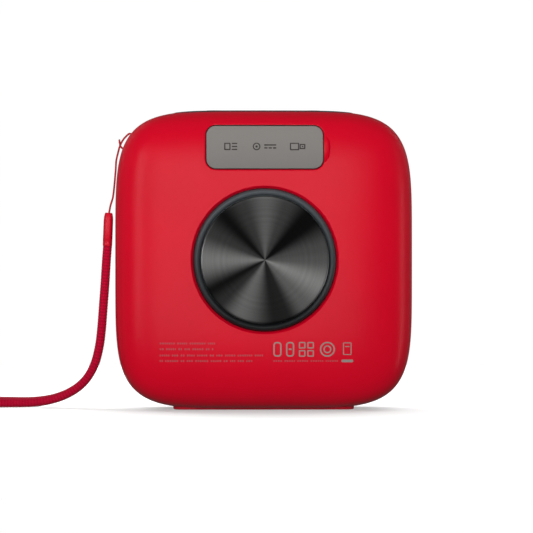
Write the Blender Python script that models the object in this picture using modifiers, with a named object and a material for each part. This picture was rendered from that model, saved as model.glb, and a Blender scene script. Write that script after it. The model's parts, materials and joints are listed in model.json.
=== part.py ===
"""Compact square portable speaker, seen and used upright: grille at -Y, passive radiator and sockets at +Y.

Metres, +Z up. The origin is on the surface it stands on, under the middle of the body.
"""

import math

import bmesh
import bpy
from mathutils import Matrix, Vector

MM = 0.001
GAP = 0.3 * MM

# The body: a rounded square loaf, one superellipsoid skin that every outer piece is cut from.
HALF_WIDTH = 55.0 * MM
HALF_HEIGHT = 55.2 * MM
MIDDLE_Z = 55.4 * MM
REAR_DEPTH = 23.6 * MM
FRONT_DEPTH = 25.0 * MM
OUTLINE_POWER = 5.05
DEPTH_POWER = 4.5
SKIN_SEGMENTS = 48
SKIN_RINGS = 16
CORNER_CROWDING = 0.4
WALL = 2.4 * MM
PARTING_Y = -12.0 * MM
GRILLE_Y = -20.75 * MM
GRILLE_THICKNESS = 1.0 * MM
BODY_BOTTOM = 0.85 * MM

# Baffle and driver (both on the body's middle axis).
BAFFLE_FRONT, BAFFLE_REAR = -19.2 * MM, -16.8 * MM
DRIVER_FLANGE_RADIUS = 29.0 * MM
DRIVER_OPENING_RADIUS = 23.3 * MM
DRIVER_SCREW_CIRCLE, DRIVER_HOLE_RADIUS = 26.6 * MM, 1.2 * MM
CONE_NECK, CONE_RIM = 7.2 * MM, 18.9 * MM
MAGNET_RADIUS = 15.5 * MM
SPIDER_INNER, SPIDER_OUTER, SPIDER_WAVES = 7.3 * MM, 16.4 * MM, 4

# Passive radiator at the back.
RADIATOR_RADIUS = 23.45 * MM
ROLL_MIDDLE_RADIUS = 24.85 * MM
ROLL_OUTER, ROLL_INNER = 1.1 * MM, 0.55 * MM
ROLL_MIDDLE_Y = 23.5 * MM
RADIATOR_BORE = 26.25 * MM
RADIATOR_DISH = 27.1 * MM
REAR_CREST = 25.0 * MM

# Sockets behind the rubber cover.
COVER_WIDTH, COVER_HEIGHT, COVER_CORNER = 42.8 * MM, 15.8 * MM, 3.5 * MM
COVER_Z, COVER_GAP = 96.7 * MM, 0.4 * MM
COVER_THICKNESS, COVER_RIM_DEPTH = 1.4 * MM, 2.6 * MM
RIM_INSET, RIM_WIDTH = 1.2 * MM, 1.0 * MM
SOCKET_PITCH = 12.6 * MM
SOCKET_MOUTH_Y = 13.2 * MM
BOARD_BOTTOM, BOARD_THICKNESS = 92.6 * MM, 1.6 * MM
BAY_HALF_WIDTH, BAY_BOTTOM, BAY_TOP = 23.4 * MM, 88.0 * MM, 105.8 * MM
BAY_FRONT, BAY_WALL = 12.0 * MM, 1.0 * MM
SOCKET_BOTTOM = BOARD_BOTTOM + BOARD_THICKNESS + GAP

# Control pad on top.
PAD_LENGTH, PAD_DEPTH, PAD_CORNER = 66.8 * MM, 22.0 * MM, 8.0 * MM
PAD_PROUD, PAD_THICKNESS = 0.15 * MM, 1.35 * MM
BUTTON_PITCH, BUTTON_RADIUS, BUTTON_TRAVEL = 18.0 * MM, 4.2 * MM, 0.35 * MM
BUTTON_PROUD = 0.3 * MM
STEM_RADIUS, STEM_HOLE_RADIUS = 2.5 * MM, 2.9 * MM
BUTTON_NAMES = ("button_minus", "button_power", "button_plus")
KEY_BOARD_BOTTOM, KEY_BOARD_THICKNESS = 101.8 * MM, 1.2 * MM
SWITCH_HALF, SWITCH_HEIGHT = 3.0 * MM, 2.9 * MM

# Foot, battery, fasteners.
FOOT_LENGTH, FOOT_DEPTH, FOOT_CORNER = 67.0 * MM, 20.0 * MM, 4.0 * MM
FOOT_TOP = 1.7 * MM
CELL_RADIUS, CELL_LENGTH = 9.0 * MM, 65.0 * MM
CELL_Y, CELL_Z = 1.0 * MM, 15.6 * MM
BOSS_X, BOSS_RISE, BOSS_RADIUS = 37.5 * MM, 32.5 * MM, 3.4 * MM
CASE_SCREW_HOLE_RADIUS = 1.55 * MM
LEAD_DIAMETER, DRIVER_LEAD_DIAMETER = 1.2 * MM, 1.0 * MM

# Wrist strap.
THREAD_DIAMETER = 0.6 * MM
STRAP_HOLE_RADIUS = 1.2 * MM
UPPER_HOLE, LOWER_HOLE = (48.95 * MM, 102.3 * MM), (52.0 * MM, 96.65 * MM)
SLEEVE_SIZE = (3.5 * MM, 7.6 * MM, 12.4 * MM)
SLEEVE_CENTRE = (57.75 * MM, 0.0, 66.65 * MM)
CORD_DIAMETER = 3.3 * MM

for old in list(bpy.data.objects):
    bpy.data.objects.remove(old, do_unlink=True)

speaker = bpy.data.collections.new("portable_speaker")
cutters = bpy.data.collections.new("cutters")
bpy.context.scene.collection.children.link(speaker)
bpy.context.scene.collection.children.link(cutters)


def material(name, colour, roughness, metallic=0.0):
    made = bpy.data.materials.new(name)
    made.use_nodes = True
    shader = made.node_tree.nodes["Principled BSDF"]
    shader.inputs["Base Color"].default_value = (*colour, 1.0)
    shader.inputs["Roughness"].default_value = roughness
    shader.inputs["Metallic"].default_value = metallic
    return made


def add(name, mesh, finish=None, smooth_angle=35.0):
    """A part when it has a finish, and otherwise a cutter."""
    made = bpy.data.objects.new(name, mesh)
    if finish is None:
        cutters.objects.link(made)
        made.hide_render = True
        made.display_type = "WIRE"
        return made
    speaker.objects.link(made)
    mesh.materials.append(finish)
    mesh.shade_smooth()
    mesh.set_sharp_from_angle(angle=math.radians(smooth_angle))
    return made


def mesh_from(name, bm):
    mesh = bpy.data.meshes.new(name)
    bm.to_mesh(mesh)
    bm.free()
    return mesh


def boolean(target, other, operation="DIFFERENCE"):
    modifier = target.modifiers.new(other.name, "BOOLEAN")
    modifier.operation = operation
    modifier.object = other


def box(name, low, high, finish=None, corner=0.0, along="Z", segments=4):
    """A box between two corners, with its four edges along one axis rounded."""
    bm = bmesh.new()
    bmesh.ops.create_cube(bm, size=1.0)
    size = Vector(high) - Vector(low)
    middle = (Vector(high) + Vector(low)) / 2
    for vert in bm.verts:
        vert.co = Vector(part * side for part, side in zip(vert.co, size)) + middle
    if corner:
        axis = "XYZ".index(along)
        upright = [e for e in bm.edges if abs((e.verts[0].co - e.verts[1].co)[axis]) > 1e-6]
        bmesh.ops.bevel(bm, geom=upright, offset=corner, segments=segments, profile=0.5, affect="EDGES")
    return add(name, mesh_from(name, bm), finish)


def rods(name, runs, finish=None, sides=24):
    """Cylinders in one mesh, each between two points and with its own radius."""
    bm = bmesh.new()
    for start, end, radius in runs:
        run = Vector(end) - Vector(start)
        turn = Vector((0, 0, 1)).rotation_difference(run).to_matrix().to_4x4()
        place = Matrix.Translation((Vector(start) + Vector(end)) / 2) @ turn
        bmesh.ops.create_cone(
            bm, cap_ends=True, segments=sides, radius1=radius, radius2=radius, depth=run.length,
            matrix=place @ Matrix.Rotation(math.pi / sides, 4, "Z"),
        )
    return add(name, mesh_from(name, bm), finish)


def rod(name, start, end, radius, finish=None, sides=24):
    return rods(name, [(start, end, radius)], finish, sides)


def turned(name, profile, finish=None, centre=(0, MIDDLE_Z), steps=24, upright=False, origin=(0, 0, 0)):
    """Turns (radius, height) points: round the body's depth axis through centre, or round Z at origin."""
    closed = all(radius > 1e-6 for radius, _ in profile)
    area = sum(
        (b[0] - a[0]) * (a[1] + b[1]) for a, b in zip(profile, profile[1:] + profile[:1])
    )
    points = profile if area > 0 else profile[::-1]
    bm = bmesh.new()
    verts = [bm.verts.new((radius, 0, height)) for radius, height in points]
    for first, second in zip(verts, verts[1:]):
        bm.edges.new((first, second))
    if closed:
        bm.edges.new((verts[-1], verts[0]))
    made = add(name, mesh_from(name, bm), finish)
    screw = made.modifiers.new("turn", "SCREW")
    screw.steps = screw.render_steps = steps
    screw.use_merge_vertices = True
    screw.merge_threshold = 0.00001
    if upright:
        made.location = origin
    else:
        made.location = (centre[0], 0, centre[1])
        made.rotation_euler = (-math.pi / 2, 0, 0)
    return made


def arc(centre, radius, start, end, count):
    """Points on a circle in the profile's plane, angles in degrees."""
    steps = [math.radians(start + (end - start) * i / count) for i in range(count + 1)]
    return [(centre[0] + radius * math.cos(a), centre[1] + radius * math.sin(a)) for a in steps]


def skin_point(direction, grow):
    """Maps a point of a unit sphere (pole along Z) onto the body's skin, moved out by grow."""
    x, up, pole = direction
    angle = math.atan2(-up, x)
    angle += CORNER_CROWDING / 4 * math.sin(4 * angle)
    across = math.hypot(x, up)
    x, z, y = across * math.cos(angle), across * math.sin(angle), pole
    outline = (abs(x) ** OUTLINE_POWER + abs(z) ** OUTLINE_POWER) ** (DEPTH_POWER / OUTLINE_POWER)
    reach = (outline + abs(y) ** DEPTH_POWER) ** (-1 / DEPTH_POWER)
    depth = REAR_DEPTH if y > 0 else FRONT_DEPTH
    return Vector((
        x * reach * (HALF_WIDTH + grow),
        y * reach * (depth + grow),
        MIDDLE_Z + z * reach * (HALF_HEIGHT + grow),
    ))


def skin(name, grow=0.0, thickness=0.0, y_from=None, y_to=None, finish=None):
    """The skin between two depths, and a little past them, as a wall; or the whole skin as a solid."""
    bm = bmesh.new()
    bmesh.ops.create_uvsphere(bm, u_segments=SKIN_SEGMENTS, v_segments=SKIN_RINGS, radius=1.0)
    for vert in bm.verts:
        vert.co = skin_point(vert.co, grow)
    spare = thickness / 2
    for limit, keep in ((y_from, 1), (y_to, -1)):
        if limit is not None:
            bmesh.ops.bisect_plane(
                bm, geom=bm.verts[:] + bm.edges[:] + bm.faces[:],
                plane_co=(0, limit - keep * spare, 0), plane_no=(0, keep, 0), clear_inner=True,
            )
    made = add(name, mesh_from(name, bm), finish, smooth_angle=50.0)
    if thickness:
        wall = made.modifiers.new("wall", "SOLIDIFY")
        wall.thickness = thickness
        wall.offset = -1.0
        wall.use_even_offset = True
    return made


def trim(target, y_from=None, y_to=None):
    """Cuts a piece off square in front of y_from and behind y_to."""
    if y_from is not None:
        boolean(target, box(f"{target.name}_rim_front", (-0.1, -0.1, -0.1), (0.1, y_from, 0.2)))
    if y_to is not None:
        boolean(target, box(f"{target.name}_rim_rear", (-0.1, y_to, -0.1), (0.1, 0.1, 0.2)))


def skin_depth(x, z):
    """Y of the rear skin at a place on the back."""
    outline = abs(x / HALF_WIDTH) ** OUTLINE_POWER + abs((z - MIDDLE_Z) / HALF_HEIGHT) ** OUTLINE_POWER
    return REAR_DEPTH * (1 - outline ** (DEPTH_POWER / OUTLINE_POWER)) ** (1 / DEPTH_POWER)


def hinge_line():
    """The cover's hinge: a straight line over its bowed end, touching the skin's highest point there."""
    x = COVER_WIDTH / 2
    low_z, high_z = COVER_Z - COVER_HEIGHT / 2, COVER_Z + COVER_HEIGHT / 2
    low = Vector((x, skin_depth(x, low_z), low_z))
    high = Vector((x, skin_depth(x, high_z), high_z))
    along = (low - high).normalized()
    outward = Vector((0, -along.z, along.y))
    bow = max(
        (Vector((x, skin_depth(x, z), z)) - low).dot(outward)
        for z in (low_z + COVER_HEIGHT * i / 40 for i in range(41))
    )
    return (low + high) / 2 + bow * outward, along


def loaf_plate(name, half, y_from, y_to, finish=None, half_rear=None):
    """A flat plate with the body's outline at a smaller size, straight or tapered."""
    rear_growth = (half_rear or half) - half
    bm = bmesh.new()
    bmesh.ops.create_cone(
        bm, cap_ends=True, segments=SKIN_SEGMENTS, radius1=1.0, radius2=1.0, depth=1.0
    )
    for vert in bm.verts:
        x, up, along = vert.co
        reach = half + (along + 0.5) * rear_growth
        reach *= (abs(x) ** OUTLINE_POWER + abs(up) ** OUTLINE_POWER) ** (-1 / OUTLINE_POWER)
        vert.co = (x * reach, y_from + (along + 0.5) * (y_to - y_from), MIDDLE_Z - up * reach)
    return add(name, mesh_from(name, bm), finish)


def smooth_path(points, spacing):
    """Points at an even spacing on the smooth curve through the given ones."""
    path = [Vector(p) for p in points]
    path = [2 * path[0] - path[1]] + path + [2 * path[-1] - path[-2]]
    fine = []
    for a, b, c, d in zip(path, path[1:], path[2:], path[3:]):
        for step in range(16):
            t = step / 16
            fine.append(0.5 * (2 * b + (c - a) * t + (2 * a - 5 * b + 4 * c - d) * t**2
                               + (3 * b - a - 3 * c + d) * t**3))
    fine.append(path[-2])
    lengths = [0.0]
    for a, b in zip(fine, fine[1:]):
        lengths.append(lengths[-1] + (b - a).length)
    count = max(2, round(lengths[-1] / spacing))
    spaced, place = [], 0
    for i in range(count + 1):
        wanted = lengths[-1] * i / count
        while place < len(fine) - 2 and lengths[place + 1] < wanted:
            place += 1
        span = lengths[place + 1] - lengths[place]
        spaced.append(fine[place].lerp(fine[place + 1], (wanted - lengths[place]) / span))
    return spaced


def cord(name, route, diameter, finish, spacing):
    """A cord as a tube along a smooth curve through its route, with closed ends."""
    curve = bpy.data.curves.new(name, "CURVE")
    curve.dimensions = "3D"
    curve.bevel_depth = diameter / 2
    curve.bevel_resolution = 2
    curve.use_fill_caps = True
    points = smooth_path(route, spacing)
    spline = curve.splines.new("POLY")
    spline.points.add(len(points) - 1)
    for target, point in zip(spline.points, points):
        target.co = (*point, 1.0)
    curve.materials.append(finish)
    made = bpy.data.objects.new(name, curve)
    speaker.objects.link(made)
    return made


RED = material("red_satin_plastic", (0.62, 0.010, 0.035), 0.38)
RED_METAL = material("red_painted_metal", (0.60, 0.010, 0.035), 0.42, 0.2)
GREY_RUBBER = material("grey_rubber", (0.23, 0.21, 0.20), 0.60)
DARK_RUBBER = material("dark_grey_rubber", (0.055, 0.062, 0.064), 0.65)
RED_RUBBER = material("red_rubber", (0.48, 0.008, 0.028), 0.58)
BLACK_RUBBER = material("black_rubber", (0.020, 0.021, 0.023), 0.55)
BLACK_PLASTIC = material("black_plastic", (0.025, 0.025, 0.027), 0.50)
SPUN_METAL = material("spun_gunmetal", (0.10, 0.10, 0.105), 0.28, 1.0)
STEEL = material("zinc_steel", (0.55, 0.56, 0.58), 0.35, 1.0)
FERRITE = material("ferrite", (0.06, 0.06, 0.065), 0.70)
COPPER = material("copper_winding", (0.72, 0.32, 0.12), 0.35, 1.0)
PAPER = material("cone_paper", (0.03, 0.03, 0.03), 0.80)
SPIDER_CLOTH = material("spider_cloth", (0.55, 0.42, 0.18), 0.85)
DARK_CLOTH = material("dark_cloth", (0.03, 0.03, 0.03), 0.90)
CIRCUIT_BOARD = material("green_circuit_board", (0.02, 0.16, 0.06), 0.45)
TINPLATE = material("tinplate", (0.70, 0.70, 0.70), 0.30, 1.0)
CELL_WRAP = material("cell_wrap", (0.05, 0.18, 0.42), 0.40)
WIRE_RED = material("wire_red", (0.50, 0.02, 0.02), 0.50)
WIRE_BLACK = material("wire_black", (0.02, 0.02, 0.02), 0.50)
CORD_RED = material("crimson_cord", (0.42, 0.006, 0.030), 0.75)
SLEEVE_RED = material("red_crimp_sleeve", (0.55, 0.010, 0.035), 0.45)

CORNERS = [(side * BOSS_X, MIDDLE_Z + rise * BOSS_RISE) for side in (-1, 1) for rise in (-1, 1)]
DRIVER_SCREWS = [
    (DRIVER_SCREW_CIRCLE * math.cos(a), MIDDLE_Z + DRIVER_SCREW_CIRCLE * math.sin(a))
    for a in (math.pi / 4 + quarter * math.pi / 2 for quarter in range(4))
]
BUTTONS_X = [-(place - 1) * BUTTON_PITCH for place in range(3)]
PAD_TOP = MIDDLE_Z + HALF_HEIGHT


def strap_hole(x, z):
    """A hole square to the body's outline at a place on its upper corner."""
    rise = (z - MIDDLE_Z) / HALF_HEIGHT
    across = x / HALF_WIDTH
    normal = Vector((
        across ** (OUTLINE_POWER - 1) / HALF_WIDTH, 0, rise ** (OUTLINE_POWER - 1) / HALF_HEIGHT
    )).normalized()
    mouth = Vector((x, 0, z))
    return mouth - 3.6 * MM * normal, mouth + 2.5 * MM * normal, STRAP_HOLE_RADIUS


def pad_outline(name, grow, low=100 * MM, high=115 * MM):
    return box(
        name, (-PAD_LENGTH / 2 - grow, -PAD_DEPTH / 2 - grow, low),
        (PAD_LENGTH / 2 + grow, PAD_DEPTH / 2 + grow, high), corner=PAD_CORNER + grow,
    )


def cover_outline(name, grow):
    return box(
        name, (-COVER_WIDTH / 2 - grow, 5 * MM, COVER_Z - COVER_HEIGHT / 2 - grow),
        (COVER_WIDTH / 2 + grow, 30 * MM, COVER_Z + COVER_HEIGHT / 2 + grow),
        corner=COVER_CORNER + grow, along="Y",
    )


def make_housing():
    """Rear shell, front shell with its baffle, the seal between them and the screws."""
    rear_rim, front_rim = PARTING_Y + GAP / 2, PARTING_Y - GAP / 2
    rear = skin("rear_shell", thickness=WALL, y_from=rear_rim, finish=RED)
    front = skin("front_shell", thickness=WALL, y_from=GRILLE_Y + GAP / 2, y_to=front_rim, finish=RED)
    floor = box("floor_cut", (-0.1, -0.1, -0.05), (0.1, 0.1, BODY_BOTTOM))
    boolean(front, floor)
    baffle = loaf_plate("baffle", 49.3 * MM, BAFFLE_FRONT, BAFFLE_REAR, half_rear=51.4 * MM)
    foot_pad = box("foot_pad", (-30.0 * MM, -11.6 * MM, 1.5 * MM), (30.0 * MM, 11.6 * MM, 3.8 * MM))
    boolean(rear, foot_pad, "UNION")
    rear_bosses = [((x, rear_rim - 1 * MM, z), (x, 19.9 * MM, z), BOSS_RADIUS) for x, z in CORNERS]
    key_board_posts = [
        ((x, 0, KEY_BOARD_BOTTOM + 1.5 * MM), (x, 0, 109 * MM), 2 * MM) for x in (-27.5 * MM, 27.5 * MM)
    ]
    front_bosses = [((x, -17.5 * MM, z), (x, front_rim + 1 * MM, z), BOSS_RADIUS) for x, z in CORNERS]
    boolean(rear, rods("rear_bosses", rear_bosses + key_board_posts, sides=16), "UNION")
    boolean(baffle, rods("front_bosses", front_bosses, sides=16), "UNION")
    trim(rear, y_from=rear_rim)
    screw_holes = [((x, -25 * MM, z), (x, -2.2 * MM, z), CASE_SCREW_HOLE_RADIUS) for x, z in CORNERS]
    driver_holes = [((x, -18.5 * MM, z), (x, -14 * MM, z), DRIVER_HOLE_RADIUS) for x, z in DRIVER_SCREWS]
    stem_holes = [((x, 0, 104 * MM), (x, 0, 115 * MM), STEM_HOLE_RADIUS) for x in BUTTONS_X]
    strap_holes = [strap_hole(x, z) for x, z in (UPPER_HOLE, LOWER_HOLE)]
    boolean(rear, rods("rear_holes", screw_holes + stem_holes + strap_holes, sides=16))
    driver_opening = [((0, -25 * MM, MIDDLE_Z), (0, -14 * MM, MIDDLE_Z), DRIVER_OPENING_RADIUS)]
    boolean(baffle, rods("front_holes", screw_holes + driver_holes, sides=12))
    boolean(baffle, rods("driver_opening", driver_opening, sides=40))
    boolean(front, baffle, "UNION")
    trim(front, y_from=GRILLE_Y + GAP / 2, y_to=front_rim)
    for number, (x, z) in enumerate(CORNERS):
        turned(
            f"housing_screw_{number + 1}",
            [(0, -20.5 * MM), (1.7 * MM, -20.5 * MM), (2.3 * MM, -20.1 * MM), (2.3 * MM, -19.5 * MM),
             (1.25 * MM, -19.5 * MM), (1.25 * MM, -3.2 * MM), (0, -2.8 * MM)],
            STEEL, centre=(x, z), steps=12,
        )
    seal = loaf_plate("housing_seal", 51.2 * MM, -13.6 * MM, -10.2 * MM, BLACK_RUBBER)
    boolean(seal, loaf_plate("seal_hole", 49.8 * MM, -15 * MM, -9 * MM))
    return rear


def make_grille():
    grille = skin("grille", thickness=GRILLE_THICKNESS, y_to=GRILLE_Y - GAP / 2, finish=RED_METAL)
    trim(grille, y_to=GRILLE_Y - GAP / 2)
    loaf_plate("dust_cloth", 37.5 * MM, -19.9 * MM, -19.5 * MM, DARK_CLOTH)


def make_foot(rear):
    boolean(rear, bpy.data.objects["floor_cut"])
    half = Vector((FOOT_LENGTH / 2, FOOT_DEPTH / 2, 0))
    box("rubber_foot", -half, half + Vector((0, 0, FOOT_TOP)), RED_RUBBER, corner=FOOT_CORNER)
    room = Vector((GAP, GAP, 0))
    recess = box(
        "foot_recess", -half - room - Vector((0, 0, 1 * MM)), half + room + Vector((0, 0, FOOT_TOP + GAP)),
        corner=FOOT_CORNER + GAP,
    )
    boolean(rear, recess)


def make_controls(rear):
    """Control pad, its three buttons, and the switch board under them."""
    pad = skin("control_pad", grow=PAD_PROUD, thickness=PAD_THICKNESS, finish=DARK_RUBBER)
    boolean(pad, pad_outline("pad_outline", 0.0), "INTERSECT")
    recess = pad_outline("pad_recess", GAP)
    boolean(recess, skin("pad_seat", grow=PAD_PROUD - PAD_THICKNESS - GAP))
    boolean(rear, recess)
    board_top = KEY_BOARD_BOTTOM + KEY_BOARD_THICKNESS
    box(
        "key_board", (-31 * MM, -7 * MM, KEY_BOARD_BOTTOM), (31 * MM, 7 * MM, board_top), CIRCUIT_BOARD
    )
    switch_bottom = board_top + GAP
    switch_top = switch_bottom + SWITCH_HEIGHT
    stem_bottom = switch_top + BUTTON_TRAVEL + GAP
    cap_bottom = PAD_TOP - 0.8 * MM
    cap_top = PAD_TOP + BUTTON_PROUD
    pad_holes = [((x, 0, 105 * MM), (x, 0, 115 * MM), BUTTON_RADIUS + GAP) for x in BUTTONS_X]
    boolean(pad, rods("pad_holes", pad_holes, sides=28))
    for number, (name, x) in enumerate(zip(BUTTON_NAMES, BUTTONS_X)):
        turned(
            name,
            [(0, cap_top), (BUTTON_RADIUS - 0.9 * MM, cap_top - 0.05 * MM),
             (BUTTON_RADIUS, cap_top - 0.35 * MM), (BUTTON_RADIUS, cap_bottom),
             (STEM_RADIUS, cap_bottom), (STEM_RADIUS, stem_bottom), (0, stem_bottom)],
            DARK_RUBBER, steps=20, upright=True, origin=(x, 0, 0),
        )
        box(
            f"key_switch_{number + 1}", (x - SWITCH_HALF, -SWITCH_HALF, switch_bottom),
            (x + SWITCH_HALF, SWITCH_HALF, switch_top), BLACK_PLASTIC,
        )


def make_port_cover(rear):
    """The rubber cover: a curved plate, flush with the skin, with a press-in rim behind it."""
    cover = skin("port_cover", thickness=COVER_RIM_DEPTH, y_from=8 * MM, finish=GREY_RUBBER)
    boolean(cover, cover_outline("cover_outline", 0.0), "INTERSECT")
    rim = cover_outline("cover_rim", -RIM_INSET)
    boolean(rim, cover_outline("cover_rim_inside", -RIM_INSET - RIM_WIDTH))
    behind = skin("cover_behind", grow=-COVER_THICKNESS)
    boolean(behind, rim)
    boolean(cover, behind)
    boolean(rear, cover_outline("cover_opening", COVER_GAP))
    scoop = bmesh.new()
    bmesh.ops.create_uvsphere(scoop, u_segments=20, v_segments=12, radius=1.0)
    scoop_y = skin_depth(COVER_WIDTH / 2, COVER_Z) + 0.2 * MM
    place = Vector((-COVER_WIDTH / 2 - COVER_GAP, scoop_y, COVER_Z))
    bmesh.ops.transform(
        scoop, verts=scoop.verts,
        matrix=Matrix.Translation(place) @ Matrix.Diagonal((2.4 * MM, 1.7 * MM, 5.6 * MM, 1.0)),
    )
    boolean(rear, add("finger_scoop", mesh_from("finger_scoop", scoop)))
    point, along = hinge_line()
    hinge = bpy.data.objects.new("port_cover_hinge", None)
    speaker.objects.link(hinge)
    hinge.location = point
    hinge.rotation_euler = Vector((0, 0, 1)).rotation_difference(along).to_euler()
    bpy.context.view_layer.update()
    cover.parent = hinge
    cover.matrix_parent_inverse = hinge.matrix_world.inverted()


def make_sockets():
    """The bay behind the cover, its three sockets, and the boards."""
    bay = box(
        "port_bay", (-BAY_HALF_WIDTH, BAY_FRONT, BAY_BOTTOM), (BAY_HALF_WIDTH, 25 * MM, BAY_TOP),
        BLACK_PLASTIC,
    )
    hollow_half = BAY_HALF_WIDTH - BAY_WALL
    boolean(bay, box(
        "bay_hollow", (-hollow_half, SOCKET_MOUTH_Y, BAY_BOTTOM + BAY_WALL),
        (hollow_half, 30 * MM, BAY_TOP - BAY_WALL),
    ))

    def socket(name, x, width, depth, height, finish):
        low = (x - width / 2, SOCKET_MOUTH_Y - depth, SOCKET_BOTTOM)
        high = (x + width / 2, SOCKET_MOUTH_Y, SOCKET_BOTTOM + height)
        room = Vector((GAP, 2 * MM, GAP))
        window = box(f"{name}_window", Vector((low[0], BAY_FRONT, low[2])) - room, Vector(high) + room)
        boolean(bay, window)
        return box(name, low, high, finish)

    usb_width, usb_height, sheet = 13.1 * MM, 5.7 * MM, 0.3 * MM
    usb_x = -SOCKET_PITCH
    usb = socket("usb_socket_shell", usb_x, usb_width, 14 * MM, usb_height, TINPLATE)
    inside = Vector((usb_width / 2 - sheet, 0, usb_height / 2 - sheet))
    usb_middle = Vector((usb_x, 0, SOCKET_BOTTOM + usb_height / 2))
    usb_floor, usb_beyond = Vector((0, 0.2 * MM, 0)), Vector((0, 20 * MM, 0))
    boolean(usb, box("usb_hollow", usb_middle - inside + usb_floor, usb_middle + inside + usb_beyond))
    box(
        "usb_socket_tongue", (usb_x - 5.5 * MM, 0.6 * MM, usb_middle.z + 0.2 * MM),
        (usb_x + 5.5 * MM, 12.2 * MM, usb_middle.z + 2.0 * MM), BLACK_PLASTIC,
    )
    power = socket("power_socket", 0.0, 9.0 * MM, 11 * MM, 7.0 * MM, BLACK_PLASTIC)
    power_z = SOCKET_BOTTOM + 3.5 * MM
    boolean(power, rod("power_hole", (0, 4.5 * MM, power_z), (0, 20 * MM, power_z), 2.85 * MM, sides=20))
    rod("power_socket_pin", (0, 4.8 * MM, power_z), (0, 12.4 * MM, power_z), 0.8 * MM, TINPLATE, sides=12)
    card = socket("card_socket", SOCKET_PITCH, 14 * MM, 14.5 * MM, 2.2 * MM, TINPLATE)
    boolean(card, box(
        "card_slot", (SOCKET_PITCH - 5.7 * MM, 1 * MM, SOCKET_BOTTOM + 0.6 * MM),
        (SOCKET_PITCH + 5.7 * MM, 20 * MM, SOCKET_BOTTOM + 1.6 * MM),
    ))
    boolean(bay, skin("bay_limit", grow=-WALL - GAP), "INTERSECT")

    board_top = BOARD_BOTTOM + BOARD_THICKNESS
    box("main_board", (-34 * MM, -7 * MM, BOARD_BOTTOM), (34 * MM, 11.6 * MM, board_top), CIRCUIT_BOARD)
    under = BOARD_BOTTOM - GAP
    box("radio_module", (-27 * MM, -2 * MM, under - 2 * MM), (-13 * MM, 8 * MM, under), TINPLATE)
    box("amplifier_chip", (-4 * MM, -2 * MM, under - 1.4 * MM), (4 * MM, 6 * MM, under), BLACK_PLASTIC)
    rod(
        "filter_capacitor", (18 * MM, 2 * MM, under - 6 * MM), (18 * MM, 2 * MM, under), 3.2 * MM, STEEL,
        sides=20,
    )


def make_battery():
    ends = [(side * CELL_LENGTH / 2, CELL_Y, CELL_Z) for side in (-1, 1)]
    rod("battery_cell", *ends, CELL_RADIUS, CELL_WRAP, sides=28)
    holder = box("battery_holder", (-31 * MM, -8 * MM, 5 * MM), (31 * MM, 10 * MM, 13 * MM), BLACK_PLASTIC)
    boolean(holder, rod(
        "cell_room", (-40 * MM, CELL_Y, CELL_Z), (40 * MM, CELL_Y, CELL_Z), CELL_RADIUS + GAP, sides=28
    ))
    leads = (("battery_lead_positive", 1, WIRE_RED), ("battery_lead_negative", -1, WIRE_BLACK))
    for name, side, finish in leads:
        cord(
            name,
            [(side * 28 * MM, 1 * MM, 25.0 * MM), (side * 28.6 * MM, 1.5 * MM, 29 * MM),
             (side * 31 * MM, 3 * MM, 40 * MM), (side * 32.2 * MM, 4 * MM, 58 * MM),
             (side * 31.8 * MM, 4 * MM, 76 * MM), (side * 31 * MM, 4 * MM, 92.2 * MM)],
            LEAD_DIAMETER, finish, 6 * MM,
        )


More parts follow.
